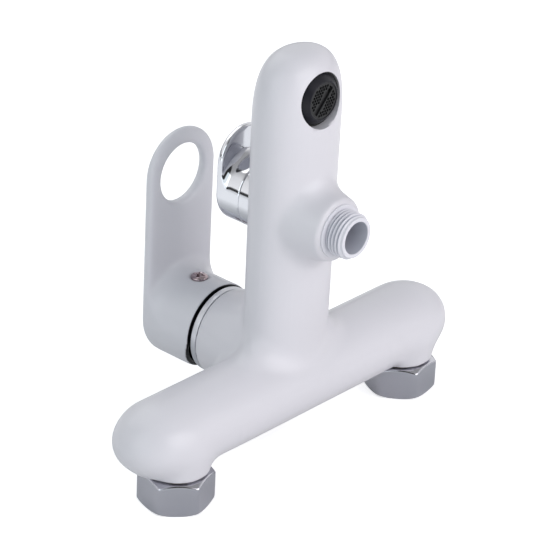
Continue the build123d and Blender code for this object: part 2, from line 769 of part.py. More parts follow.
def shower_nipple_ring():
    """The sealing ring on the shower nipple's stem."""
    middle = -boss_end + outlet_grip - outlet_grip / 3
    return ring_y(outlet_ring_section, outlet_grip_radius, middle, outlet_axis)


def seat_seal():
    """The rubber seat under the diverter's ceramic discs."""
    low, high = seat_seal_start + ring_gap, seat_seal_start + seat_seal_thickness
    seal = rod_y(bonnet_radius, low, high, diverter_axis)
    return seal - rod_y(outlet_bore_radius - 1, low - 1, high + 1, outlet_axis)


def diverter_disc(start, turn):
    """A ceramic disc of the diverter with two round ports opposite each other."""
    disc = rod_y(diverter_disc_radius, start, start + diverter_disc_thickness, diverter_axis)
    ring = diverter_disc_radius / 2
    for half_turn in (0, 180):
        angle = radians(turn + half_turn)
        disc -= rod_y(ring / 2, start - 1, start + diverter_disc_thickness + 1,
                      diverter_axis + ring * sin(angle), ring * cos(angle))
    return disc


def diverter_bonnet():
    """The brass headpart: a cup over the discs, a screwed barrel and a flange on the pad."""
    cup_bore = bonnet_radius - bonnet_cup_wall
    stem_bore = spindle_radius + running_gap
    bonnet = turned_y([(cup_bore, cup_start), (bonnet_radius, cup_start), (bonnet_radius, bonnet_seat),
                       (bonnet_flange_radius, bonnet_seat), (bonnet_flange_radius, bonnet_top),
                       (stem_bore, bonnet_top), (stem_bore, cup_end), (cup_bore, cup_end)], diverter_axis)
    bonnet -= rod_z(valve_hole_radius / 2, diverter_axis - 2 * bonnet_radius,
                    diverter_axis + 2 * bonnet_radius, 0,
                    diverter_moving_start + diverter_disc_thickness / 2)
    return bonnet - groove_y(bonnet_ring_section, bonnet_radius, (cup_end + bonnet_seat) / 2, diverter_axis)


def bonnet_ring():
    """The sealing ring on the bonnet's barrel."""
    return ring_y(bonnet_ring_section, bonnet_radius, (cup_end + bonnet_seat) / 2, diverter_axis)


def spindle_ring_places():
    """The places of the two sealing rings along the spindle."""
    span = bonnet_top - cup_end
    return (cup_end + span / 3, cup_end + 2 * span / 3)


def diverter_spindle():
    """The spindle that turns the diverter's moving disc."""
    spindle = turned_y([(0, spindle_foot_start), (spindle_foot_radius, spindle_foot_start),
                        (spindle_foot_radius, spindle_foot_start + spindle_foot_thickness),
                        (spindle_radius, spindle_foot_start + spindle_foot_thickness),
                        (spindle_radius, spindle_end), (0, spindle_end)], diverter_axis)
    for middle in spindle_ring_places():
        spindle -= groove_y(spindle_ring_section, spindle_radius, middle, diverter_axis)
    low = bonnet_top + loose_gap
    spindle -= turned_y([(clip_groove_radius, low), (spindle_radius + 1, low),
                         (spindle_radius + 1, low + clip_thickness + 2 * ring_gap),
                         (clip_groove_radius, low + clip_thickness + 2 * ring_gap)], diverter_axis)
    flat = Box(4 * spindle_radius, spindle_end, spindle_radius)
    socket_start = low + clip_thickness + 1
    drop = diverter_axis - spindle_radius * spindle_flat_share - spindle_radius / 2
    return spindle - Pos(0, socket_start + spindle_end / 2, drop) * flat


def spindle_rings():
    """The two sealing rings on the spindle."""
    return Compound(children=[ring_y(spindle_ring_section, spindle_radius, middle, diverter_axis)
                              for middle in spindle_ring_places()])


def spindle_clip():
    """The open spring clip that keeps the spindle in its bonnet."""
    low = bonnet_top + loose_gap + ring_gap
    high = low + clip_thickness
    clip = turned_y([(clip_groove_radius + ring_gap, low), (clip_radius, low), (clip_radius, high),
                     (clip_groove_radius + ring_gap, high)], diverter_axis)
    mouth = Box(spindle_radius, spindle_end, 2 * clip_radius)
    return clip - Pos(0, low, diverter_axis - clip_radius) * mouth


def diverter_collar():
    """The chrome collar round the diverter's pad, cut to the column's curve."""
    inner = diverter_pad_radius + seat_gap
    ring = turned_y([(inner, column_offset), (knob_hub_radius, column_offset),
                     (knob_hub_radius, pad_face), (inner, pad_face)], diverter_axis)
    reach = column_reach(diverter_axis + knob_hub_radius) + seat_gap
    depth = reach * column_half_depth / column_half_width
    low, high = diverter_axis - 2 * knob_hub_radius, diverter_axis + 2 * knob_hub_radius
    return ring - oval_post(reach, depth, low, high)


def diverter_knob():
    """The diverter's knob: a small hub with an upright plate, hollow over the bonnet."""
    solid = hub_and_plate(knob_hub_radius, diverter_axis, knob_top_centre, knob_rim, knob_face,
                          knob_plate_thickness, knob_flare, knob_edge_round, knob_inner_round)
    cavity = rod_y(knob_hub_radius - knob_wall, knob_rim - 1, knob_face - knob_end_wall, diverter_axis)
    socket_start = bonnet_top + 2 * loose_gap + clip_thickness + 1
    socket = rod_y(knob_socket_radius, socket_start, knob_face, diverter_axis)
    solid -= cavity - socket
    bore = rod_y(spindle_radius + seat_gap, knob_rim - 1, spindle_end + seat_gap, diverter_axis)
    key = Box(4 * spindle_radius, 2 * spindle_end, spindle_radius)
    drop = diverter_axis - spindle_radius * spindle_flat_share - seat_gap - spindle_radius / 2
    bore -= Pos(0, socket_start + spindle_end, drop) * key
    solid -= bore
    low = diverter_axis - knob_hub_radius
    place = knob_screw_place()
    solid -= rod_z(knob_screw_head_radius + loose_gap, low - knob_flare, low + knob_wall / 2, 0, place)
    return solid - rod_z(knob_screw_head_radius / 2 + seat_gap, low, diverter_axis, 0, place)


def knob_screw_place():
    """How far out along Y the knob's screw sits."""
    return knob_face - knob_plate_thickness - knob_flare / 2


def knob_screw():
    """The screw in the knob's underside that clamps it on the spindle's flat."""
    seat = diverter_axis + knob_hub_radius - knob_wall / 2 + ring_gap
    tip = diverter_axis + spindle_radius * spindle_flat_share + ring_gap
    screw = cross_screw(knob_screw_place(), seat, tip, knob_screw_head_radius, knob_screw_head_radius / 2,
                        knob_screw_head_radius / 2)
    return screw.rotate(Axis((0, 0, diverter_axis), (0, 1, 0)), 180)


def aerator_housing():
    """The aerator's outer black sleeve, screwed into the column."""
    inner = aerator_nozzle_radius + seat_gap
    lip = aerator_back - 1
    return turned_y([(inner, -aerator_front), (aerator_radius - loose_gap, -aerator_front),
                     (aerator_radius, -aerator_front + loose_gap), (aerator_radius, aerator_back),
                     (aerator_seat_radius - 1, aerator_back), (aerator_seat_radius - 1, lip), (inner, lip)],
                    aerator_axis)


def aerator_nozzle():
    """The aerator's tapered nozzle that stands out of the sleeve and frames the mesh."""
    bore = aerator_mesh_radius + seat_gap
    tip = mesh_front
    back = aerator_back - 1 - seat_gap
    ledge = tip + aerator_mesh_thickness + seat_gap
    outer, tip_radius = aerator_nozzle_radius, aerator_nozzle_tip_radius
    return turned_y([(bore - 1, back), (outer, back), (outer, -aerator_front),
                     (tip_radius, tip + loose_gap), (tip_radius - loose_gap, tip),
                     (bore, tip), (bore, ledge), (bore - 1, ledge)], aerator_axis)


def aerator_mesh():
    """The honeycomb disc with the wide key slot across it."""
    low, high = mesh_front + loose_gap, mesh_front + aerator_mesh_thickness
    disc = rod_y(aerator_mesh_radius, low, high, aerator_axis)
    plane = Plane(origin=(0, low - 1, aerator_axis), x_dir=(1, 0, 0), z_dir=(0, 1, 0))
    row_pitch = aerator_cell * sqrt(3) / 2
    across = aerator_cell - aerator_web
    usable = aerator_mesh_radius - aerator_cell / 2 - aerator_web
    half_slot = (aerator_slot_width + aerator_web) / 2 + across / sqrt(3)
    turn = radians(-aerator_slot_angle)
    rows = int(usable / row_pitch)
    cells = []
    for row in range(-rows, rows + 1):
        shift = aerator_cell / 2 if row % 2 else 0
        for column in range(-rows, rows + 1):
            u = column * aerator_cell + shift
            v = row * row_pitch
            inside = sqrt(u * u + v * v) < usable
            beside_slot = abs(v * cos(turn) - u * sin(turn)) > half_slot
            if inside and beside_slot:
                cells.append((u, v))
    cell = RegularPolygon(across / 2, 6, major_radius=False, rotation=30)
    disc -= [extrude(plane * (Pos(u, v) * cell), aerator_mesh_thickness + 2) for u, v in cells]
    slot_length = 2 * usable
    slot = plane * (Rot(0, 0, -aerator_slot_angle) * Rectangle(slot_length, aerator_slot_width))
    return disc - extrude(slot, aerator_mesh_thickness + 2)


def aerator_filter():
    """The perforated disc behind the mesh."""
    low = mesh_front + aerator_mesh_thickness + 2 * seat_gap
    inner = aerator_mesh_radius - 1 - seat_gap
    disc = rod_y(inner, low, low + aerator_mesh_thickness, aerator_axis)
    for index in range(filter_hole_count):
        angle = radians(index * 360 / filter_hole_count)
        disc -= rod_y(filter_hole_radius, low - 1, low + aerator_mesh_thickness + 1,
                      aerator_axis + filter_hole_circle * sin(angle), filter_hole_circle * cos(angle))
    return disc


def aerator_gasket():
    """The flat rubber washer behind the aerator."""
    low = aerator_back + ring_gap
    high = low + aerator_gasket_thickness
    return turned_y([(aerator_seat_radius, low), (aerator_radius, low), (aerator_radius, high),
                     (aerator_seat_radius, high)], aerator_axis)


pieces = {
    "body_casting": casting(),
    "left_union_nut": union_nut(-half_spacing, left_nut_turn),
    "right_union_nut": union_nut(half_spacing, right_nut_turn),
    "left_tailpiece": tailpiece(-half_spacing),
    "right_tailpiece": tailpiece(half_spacing),
    "left_tailpiece_ring": tailpiece_ring(-half_spacing),
    "right_tailpiece_ring": tailpiece_ring(half_spacing),
    "left_inlet_washer": inlet_washer(-half_spacing),
    "right_inlet_washer": inlet_washer(half_spacing),
    "cartridge_base": cartridge_base(),
    "cartridge_port_seals": port_seals(),
    "fixed_ceramic_disc": fixed_disc(),
    "moving_ceramic_disc": moving_disc(),
    "disc_carrier": disc_carrier(),
    "cartridge_rotor": rotor(),
    "lever_pin": lever_pin(),
    "lever_stem": lever_stem(),
    "cartridge_casing": cartridge_casing(),
    "retaining_nut": retaining_nut(),
    "cover_ring": cover_ring(),
    "glide_ring": glide_ring(),
    "lever_handle": lever(),
    "lever_screw": lever_screw(),
    "shower_nipple": shower_nipple(),
    "shower_nipple_ring": shower_nipple_ring(),
    "diverter_seat_seal": seat_seal(),
    "diverter_fixed_disc": diverter_disc(diverter_fixed_start, 90),
    "diverter_moving_disc": diverter_disc(diverter_moving_start, 0),
    "diverter_bonnet": diverter_bonnet(),
    "bonnet_ring": bonnet_ring(),
    "diverter_spindle": diverter_spindle(),
    "spindle_rings": spindle_rings(),
    "spindle_clip": spindle_clip(),
    "diverter_collar": diverter_collar(),
    "diverter_knob": diverter_knob(),
    "knob_screw": knob_screw(),
    "aerator_housing": aerator_housing(),
    "aerator_nozzle": aerator_nozzle(),
    "aerator_mesh": aerator_mesh(),
    "aerator_filter": aerator_filter(),
    "aerator_gasket": aerator_gasket(),
}

os.makedirs("parts", exist_ok=True)
for name, solid in pieces.items():
    export_step(solid, f"parts/{name}.step")
    print(name, round(solid.volume))
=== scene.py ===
"""Looks of a wall-mounted bath and shower mixer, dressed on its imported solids.

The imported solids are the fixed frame. Each sub-assembly below is a class that holds its sizes in
millimetres, builds the surfaces that need more detail than the solids have, and dresses its solids.
"""

import json
import logging
import math
from dataclasses import dataclass, field
from enum import Enum

import bmesh
import bpy
import numpy as np
from mathutils import Matrix, Vector

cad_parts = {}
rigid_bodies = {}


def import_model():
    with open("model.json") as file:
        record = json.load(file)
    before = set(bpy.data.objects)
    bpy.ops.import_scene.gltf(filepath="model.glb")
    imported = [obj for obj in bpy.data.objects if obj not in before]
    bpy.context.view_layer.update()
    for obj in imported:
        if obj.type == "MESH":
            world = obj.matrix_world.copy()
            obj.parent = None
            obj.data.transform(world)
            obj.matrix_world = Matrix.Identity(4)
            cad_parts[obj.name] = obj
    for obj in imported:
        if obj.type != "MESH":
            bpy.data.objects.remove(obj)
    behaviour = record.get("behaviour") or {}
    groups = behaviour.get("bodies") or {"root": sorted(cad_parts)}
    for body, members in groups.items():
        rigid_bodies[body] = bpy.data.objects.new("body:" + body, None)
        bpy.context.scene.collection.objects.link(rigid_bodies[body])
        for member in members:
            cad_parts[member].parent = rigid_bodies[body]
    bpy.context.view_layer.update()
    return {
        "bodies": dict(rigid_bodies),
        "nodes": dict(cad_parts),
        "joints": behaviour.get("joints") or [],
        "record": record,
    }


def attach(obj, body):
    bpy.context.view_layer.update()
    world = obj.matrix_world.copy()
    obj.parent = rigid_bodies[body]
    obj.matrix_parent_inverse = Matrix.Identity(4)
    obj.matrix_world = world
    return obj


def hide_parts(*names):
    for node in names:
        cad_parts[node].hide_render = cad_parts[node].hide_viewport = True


Triple = tuple[float, float, float]
Colour = Triple
Pair = tuple[float, float]
Socket = bpy.types.NodeSocket
Piece = bpy.types.Object
Fill = dict[str | int, object]
Stretch = np.ndarray | tuple[np.ndarray, np.ndarray]

MM = 0.001
HALF_SPACING = 75.0
LEVER_Z = 39.1
OUTLET_Z = 112.8
AERATOR_Z = 169.5
CREASE_ANGLE = math.radians(32)
WHITE = (1.0, 1.0, 1.0, 1.0)
WELD_REACH = 1e-6
POLE_REACH = 1e-7
TINY = 1e-6
FAIRING_STEPS = [0.5, -0.52]
SHRINKING_STEP = [0.5]
LOG = logging.getLogger("mixer")


class Turning(Enum):
    """The line that a turned piece is made about."""

    ALONG_Y = "y"
    ALONG_Z = "z"


class Body(str, Enum):
    """The bodies of the frame that pieces ride on."""

    FIXED = "body"
    LEFT_NUT = "left_nut"
    RIGHT_NUT = "right_nut"
    LEVER = "lever"
    DIVERTER = "diverter"


class NodeSheet:
    """A node tree, with short calls that add nodes and join their sockets."""

    def __init__(self, tree: bpy.types.NodeTree) -> None:
        """Takes a tree.

        Args:
            tree: The tree of a material or a world.
        """
        self.nodes = tree.nodes
        self.links = tree.links

    def fill(self, node: bpy.types.Node, inputs: Fill) -> None:
        """Fills a node's sockets.

        Args:
            node: The node.
            inputs: The number, the colour or the source of each socket, by the socket's name or place.
        """
        for name, value in inputs.items():
            if isinstance(value, Socket):
                self.links.new(value, node.inputs[name])
            else:
                node.inputs[name].default_value = value

    def add(self, kind: str, out: str, inputs: Fill, **settings: str) -> Socket:
        """Adds a node and fills its sockets.

        Args:
            kind: The node's type, without the words ShaderNode.
            out: The name of the result that is wanted.
            inputs: What goes into its sockets.
            settings: The node's own settings, such as its operation.

        Returns:
            The socket of the result.
        """
        node = self.nodes.new("ShaderNode" + kind)
        for name, setting in settings.items():
            setattr(node, name, setting)
        self.fill(node, inputs)
        return node.outputs[out]

    def combined(self, operation: str, first: Socket, second: Socket | float) -> Socket:
        """Two values joined by one of the Math node's operations."""
        return self.add("Math", "Value", {0: first, 1: second}, operation=operation)

    def ramped(self, value: Socket, start: float, end: float, low: float = 0.0, high: float = 1.0) -> Socket:
        """A value as a ramp that is low before start and high after end.

        Args:
            value: The socket of the value.
            start: Where the ramp starts.
            end: Where it ends.
            low: The result at its start.
            high: The result at its end.

        Returns:
            The socket of the result.
        """
        limits = {"From Min": start, "From Max": end, "To Min": low, "To Max": high}
        return self.add("MapRange", "Result", {"Value": value, **limits})

    def blend(self, factor: Socket, first: Colour | Socket, second: Colour | Socket) -> Socket:
        """A colour between two, by a factor.

        Args:
            factor: The socket of the share of the second colour.
            first: The colour at 0, or its socket.
            second: The colour at 1, or its socket.

        Returns:
            The socket of the colour.
        """
        first, second = ((*one, 1.0) if isinstance(one, tuple) else one for one in (first, second))
        return self.add("Mix", "Result", {"A": first, "B": second, "Factor": factor}, data_type="RGBA")

    def mirrored(self, path: bpy.types.Node) -> Socket:
        """Whether a Light Path node's ray comes from a mirror or through glass."""
        return self.combined("MAXIMUM", path.outputs["Is Glossy Ray"], path.outputs["Is Transmission Ray"])


class ShaderGraph(NodeSheet):
    """The nodes of one material, with the patterns that the finishes share."""

    noise_middle: Pair = (0.3, 0.7)

    def __init__(self, name: str) -> None:
        """Starts a material with a Principled shader and Object coordinates.

        Args:
            name: The material's name.
        """
        self.material = bpy.data.materials.new(name)
        self.material.use_nodes = True
        super().__init__(self.material.node_tree)
        self.shader = self.nodes["Principled BSDF"]
        self.place = self.add("TexCoord", "Object", {})

    def noise(self, size_mm: float, detail: float, stretch: Triple = (1.0, 1.0, 1.0)) -> Socket:
        """A noise pattern on the piece.

        Args:
            size_mm: The size of one patch.
            detail: How many finer octaves it has.
            stretch: How much finer it is along each axis.

        Returns:
            The socket of the noise's value.
        """
        place = self.add("Mapping", "Vector", {"Vector": self.place, "Scale": stretch})
        scale = 1.0 / (size_mm * MM)
        return self.add("TexNoise", "Fac", {"Vector": place, "Scale": scale, "Detail": detail})

    def ranged(self, noise: Socket, low: float, high: float) -> Socket:
        """A noise value, stretched from its usual middle range to the range from low to high."""
        return self.ramped(noise, *self.noise_middle, low, high)

    def within(self, shade: "PaintedShade") -> Socket:
        """How far a point lies inside a room of painted shade: 1 inside and 0 outside, with a soft edge.

        The share is the product of a step on the distance from the room's axis and one at each of its ends.

        Args:
            shade: The room.

        Returns:
            The socket of the share.
        """
        upright = shade.turning is Turning.ALONG_Z
        first, second = (-part * MM for part in shade.centre)
        centre = (first, second, 0.0) if upright else (first, 0.0, second)
        flatten = (1.0, 1.0, 0.0) if upright else (1.0, 0.0, 1.0)
        run = self.add("SeparateXYZ", "Z" if upright else "Y", {"Vector": self.place})
        across = self.add("Mapping", "Vector", {"Vector": self.place, "Location": centre, "Scale": flatten})
        radius = self.add("VectorMath", "Value", {0: across}, operation="LENGTH")
        soft = shade.softness
        shares = [self.ramped(value, outer * MM, inner * MM)
                  for value, outer, inner in ((radius, shade.radius + soft, shade.radius),
                                              (run, shade.low - soft, shade.low),
                                              (run, shade.high + soft, shade.high))]
        return self.combined("MULTIPLY", self.combined("MULTIPLY", shares[0], shares[1]), shares[2])

    def bump(self, height: Socket, depth_mm: float) -> Socket:
        """The normal of a surface that is raised by a pattern, depth_mm high where the pattern is 1."""
        return self.add("Bump", "Normal", {"Height": height, "Distance": depth_mm * MM})


def tinted(colour: Colour, share: float) -> Colour:
    """A colour with each part scaled by a share, kept under 1."""
    return tuple(min(part * share, 1.0) for part in colour)


@dataclass(frozen=True)
class PaintedShade:
    """A round room whose walls get a painted shade colour in place of the paint, in millimetres: its axis,
    its radius and its two ends.
    """

    centre: Pair
    radius: float
    low: float
    high: float
    turning: Turning = Turning.ALONG_Y
    softness: float = 0.3


@dataclass(frozen=True)
class Finish:
    """A finish whose tone and gloss drift in patches, with a fine relief raised on it."""

    name: str
    colour: Colour
    roughness: float = 0.4
    relief_mm: float = 0.5
    relief_depth_mm: float = 0.006
    relief_detail: float = 2.0
    stretch: Triple = (1.0, 1.0, 1.0)
    tone_mm: float = 6.0
    tone_detail: float = 2.0
    tones: Pair = (0.9, 1.12)
    haze_mm: float = 3.0
    haze_detail: float = 2.0
    haze: Pair = (0.85, 1.15)

    def sockets(self) -> dict[str, float]:
        """The shader's sockets that are the same all over: here those of a plain metal."""
        return {"Metallic": 1.0}

    def colouring(self, graph: ShaderGraph) -> Socket:
        """The colour: patches between two tints of it."""
        tone = graph.ranged(graph.noise(self.tone_mm, self.tone_detail), 0.0, 1.0)
        return graph.blend(tone, *(tinted(self.colour, share) for share in self.tones))

    def material(self) -> bpy.types.Material:
        """The material: the drifting colour and roughness, and the relief as bump."""
        graph = ShaderGraph(self.name)
        haze = graph.noise(self.haze_mm, self.haze_detail)
        relief = graph.noise(self.relief_mm, self.relief_detail, self.stretch)
        graph.fill(graph.shader, {
            "Base Color": self.colouring(graph),
            "Roughness": graph.ranged(haze, *(self.roughness * share for share in self.haze)),
            "Normal": graph.bump(relief, self.relief_depth_mm),
            **self.sockets(),
        })
        return graph.material


@dataclass(frozen=True)
class Lacquer(Finish):
    """A satin powder paint on metal: faint orange peel, and painted shade, a darker colour on the walls of
    the listed rooms that stands in for the shade falling there.
    """

    relief_mm: float = 1.4
    relief_depth_mm: float = 0.0012
    relief_detail: float = 1.0
    tone_mm: float = 45.0
    tone_detail: float = 1.0
    tones: Pair = (0.992, 1.008)
    haze_mm: float = 14.0
    haze_detail: float = 1.0
    haze: Pair = (0.97, 1.03)
    painted_shades: tuple[PaintedShade, ...] = ()
    painted_shade_colour: Colour = (0.03, 0.03, 0.035)

    def sockets(self) -> dict[str, float]:
        """The sockets of a paint under a thin clear coat."""
        return {"Metallic": 0.0, "IOR": 1.5, "Specular IOR Level": 0.35, "Coat Weight": 0.22,
                "Coat Roughness": 0.12}

    def colouring(self, graph: ShaderGraph) -> Socket:
        """The paint's colour, with the painted shade colour in each room."""
        colour = super().colouring(graph)
        for shade in self.painted_shades:
            # Painted shade: inside each room the paint gives way to the darker shade colour.
            colour = graph.blend(graph.within(shade), colour, self.painted_shade_colour)
        return colour


@dataclass(frozen=True)
class Plating(Finish):
    """Polished chrome plate: mirror bright, with a slight wave left by the polishing wheel."""

    roughness: float = 0.08
    relief_mm: float = 7.0
    relief_detail: float = 1.0
    tone_mm: float = 22.0
    tones: Pair = (0.96, 1.03)
    haze_mm: float = 5.0
    haze_detail: float = 4.0
    haze: Pair = (0.7, 1.4)


@dataclass(frozen=True)
class Moulding(Finish):
    """A moulded plastic with a fine skin."""

    shine: float = 0.5

    def sockets(self) -> dict[str, float]:
        """The sockets of a plastic with the given shine."""
        return {"Metallic": 0.0, "IOR": 1.48, "Specular IOR Level": self.shine}


@dataclass(frozen=True)
class Machined(Finish):
    """A turned metal whose tool marks run round its axis, tarnished in patches."""

    roughness: float = 0.28
    relief_depth_mm: float = 0.004
    relief_detail: float = 3.0
    stretch: Triple = (0.2, 6.0, 0.2)
    tone_mm: float = 9.0
    tone_detail: float = 4.0
    tones: Pair = (0.82, 1.0)
    haze_mm: float = 4.0
    haze_detail: float = 4.0
    haze: Pair = (0.7, 1.3)


def inlet_painted_shadows() -> tuple[PaintedShade, ...]:
    """The casting's two ends inside the nuts, coloured near black as a painted shadow line in the gap above
    each nut.
    """
    ends = ((-HALF_SPACING, 0.0), (HALF_SPACING, 0.0))
    return tuple(PaintedShade(end, 13.7, 14.0, 15.65, Turning.ALONG_Z, 0.15) for end in ends)


@dataclass(frozen=True)
class Finishes:
    """Every finish on the mixer, made once and shared."""

    # The casting's paint carries a near-black painted shadow on its ends inside the nuts.
    paint: Lacquer = Lacquer("white_paint", (0.725, 0.708, 0.747), painted_shades=inlet_painted_shadows())
    # The lever's paint turns near black inside its skirt and round its stem: painted shade that makes the gap
    # under the lever read dark.
    lever_paint: Lacquer = Lacquer(
        "white_lever_paint", (0.715, 0.705, 0.745), painted_shade_colour=(0.006, 0.006, 0.008),
        painted_shades=(PaintedShade((0.0, LEVER_Z), 20.5, 40.0, 55.0), PaintedShade((0.0, LEVER_Z), 19.0, 40.0, 71.0)))
    # The outlet's paint is a lighter copy of the casting's white, which paints light on it; its bore and the
    # roots of its thread take a grey painted shade.
    outlet_paint: Lacquer = Lacquer(
        "white_outlet_paint", (0.77, 0.76, 0.81), painted_shade_colour=(0.50, 0.51, 0.57),
        painted_shades=(PaintedShade((0.0, OUTLET_Z), 8.0, -30.3, 0.0), PaintedShade((0.0, OUTLET_Z), 9.5, -28.9, -22.4)))
    chrome: Plating = Plating("bright_chrome", (0.66, 0.67, 0.71))
    nut_chrome: Plating = Plating("nut_chrome", (0.54, 0.54, 0.59), 0.10)
    ring_chrome: Plating = Plating("satin_chrome", (0.57, 0.58, 0.62), 0.38)
    screw_chrome: Plating = Plating("warm_chrome", (0.40, 0.33, 0.35), 0.10)
    black: Moulding = Moulding("black_acetal", (0.003, 0.003, 0.004), 0.6)
    gap_black: Moulding = Moulding("black_glide_plastic", (0.004, 0.004, 0.005), 0.8, shine=0.1)
    nozzle_black: Moulding = Moulding("dark_nozzle_plastic", (0.009, 0.009, 0.014), 0.38, shine=0.26)
    web: Moulding = Moulding("aerator_web", (0.020, 0.020, 0.021), 0.35, shine=0.2)
    grey: Moulding = Moulding("grey_nylon", (0.17, 0.19, 0.21), 0.5)
    rubber: Moulding = Moulding("black_rubber", (0.012, 0.012, 0.012), 0.72, 0.8, 0.012)
    brass: Machined = Machined("turned_brass", (0.62, 0.43, 0.17))
    steel: Machined = Machined("drawn_steel", (0.50, 0.50, 0.52), 0.3)
    ceramic: Moulding = Moulding("lapped_ceramic", (0.74, 0.71, 0.66), 0.16, 0.4, 0.001)
    made: dict[str, bpy.types.Material] = field(default_factory=dict)

    def of(self, name: str) -> bpy.types.Material:
        """The material of a finish, made at its first use.

        Args:
            name: The field that holds the finish.

        Returns:
            The finish's material.
        """
        if name not in self.made:
            self.made[name] = getattr(self, name).material()
        return self.made[name]


def rounded_section(corners: list[Pair], radius: float, steps: int = 5, most: float = 0.45) -> np.ndarray:
    """A closed section whose corners are rounded.

    At corner P, with unit directions a and b to its neighbours, the round runs over t from 0 to 1 as
    (1 - t)^2 (P + r a) + 2 t (1 - t) P + t^2 (P + r b), where r is at most a share of the shorter side.

    Args:
        corners: The section's corners, in order.
        radius: The length that each round takes off a side.
        steps: How many points each round has.
        most: The share of the shorter side.

    Returns:
        The points, one row each.
    """
    points = np.array(corners, float)
    back = np.roll(points, 1, axis=0) - points
    ahead = np.roll(points, -1, axis=0) - points
    back_length = np.linalg.norm(back, axis=1, keepdims=True)
    ahead_length = np.linalg.norm(ahead, axis=1, keepdims=True)
    taken = np.minimum(radius, most * np.minimum(back_length, ahead_length))
    start = (points + taken * back / back_length)[:, None, :]
    end = (points + taken * ahead / ahead_length)[:, None, :]
    share = np.linspace(0.0, 1.0, steps)[None, :, None]
    curve = (1 - share) ** 2 * start + 2 * share * (1 - share) * points[:, None, :] + share ** 2 * end
    return curve.reshape(-1, 2)


def round_angles(columns: int) -> np.ndarray:
    """The angles of a number of points that go round a line."""
    return np.linspace(0.0, 2 * np.pi, columns, endpoint=False)


def soft_min(first: np.ndarray, second: np.ndarray, softness: float) -> np.ndarray:
    """The smaller of two arrays with a rounded crossing: -k log(exp(-a / k) + exp(-b / k))."""
    return -softness * np.logaddexp(-first / softness, -second / softness)


def grid_piece(name: str, points: np.ndarray, poles: bool) -> Piece:
    """A piece whose surface is a grid of points that closes round its columns.

    Args:
        name: The piece's name.
        points: An array of rows by columns by 3, in metres.
        poles: Whether the first and the last row each lie on one point. If not, they join as on a ring.

    Returns:
        The piece, smooth, with its faces turned outwards.
    """
    rows, columns = points.shape[:2]
    row, column = np.meshgrid(np.arange(rows - poles), np.arange(columns), indexing="ij")
    beside = (column + 1) % columns
    row, below = row * columns, (row + 1) % rows * columns
    corners = (row + column, row + beside, below + beside, below + column)
    quads = np.stack([corner.ravel() for corner in corners], axis=1)
    flat = points.reshape(-1, 3)
    edges = flat[quads]
    volume = np.einsum("ij,ij->i", edges[:, 0], np.cross(edges[:, 1], edges[:, 2])).sum()
    volume += np.einsum("ij,ij->i", edges[:, 0], np.cross(edges[:, 2], edges[:, 3])).sum()
    if volume < 0:
        quads = quads[:, ::-1]
    mesh = bpy.data.meshes.new(name)
    mesh.from_pydata(flat, [], quads)
    if poles:
        merge_doubles(mesh)
    mesh.shade_smooth()
    mesh.set_sharp_from_angle(angle=CREASE_ANGLE)
    piece = bpy.data.objects.new(name, mesh)
    bpy.context.scene.collection.objects.link(piece)
    return piece


def merge_doubles(mesh: bpy.types.Mesh) -> None:
    """Merges the points of a mesh that lie on each other, such as those of a pole."""
    work = bmesh.new()
    work.from_mesh(mesh)
    bmesh.ops.remove_doubles(work, verts=work.verts, dist=POLE_REACH)
    work.to_mesh(mesh)
    work.free()


def turned_piece(name: str, section: list[Stretch], turning: Turning, centre_mm: Pair, columns: int,
                 poles: bool = False) -> Piece:
    """A piece turned about a line: radius times the cosine and the sine of the angle, beside the height.

    Args:
        name: The piece's name.
        section: The stretches of the section in order, each with its radii and its heights in
            millimetres, which are the same all round or have one for each column.
        turning: The line that it turns about.
        centre_mm: Where the line lies: x and z for a line along Y, x and y for a line along Z.
        columns: How many points go round.
        poles: Whether the section runs from pole to pole. If not, it is a closed ring.

    Returns:
        The piece.
    """
    rows = [[part if part.ndim == 2 else np.repeat(part[:, None], columns, axis=1) for part in stretch]
            for stretch in section]
    radius, height = (np.concatenate(parts) for parts in zip(*rows))
    angle = round_angles(columns)[None, :]
    across, up = radius * np.cos(angle) + centre_mm[0], radius * np.sin(angle) + centre_mm[1]
    points = (across, height, up) if turning is Turning.ALONG_Y else (across, up, height)
    return grid_piece(name, np.stack(points, axis=-1) * MM, poles)


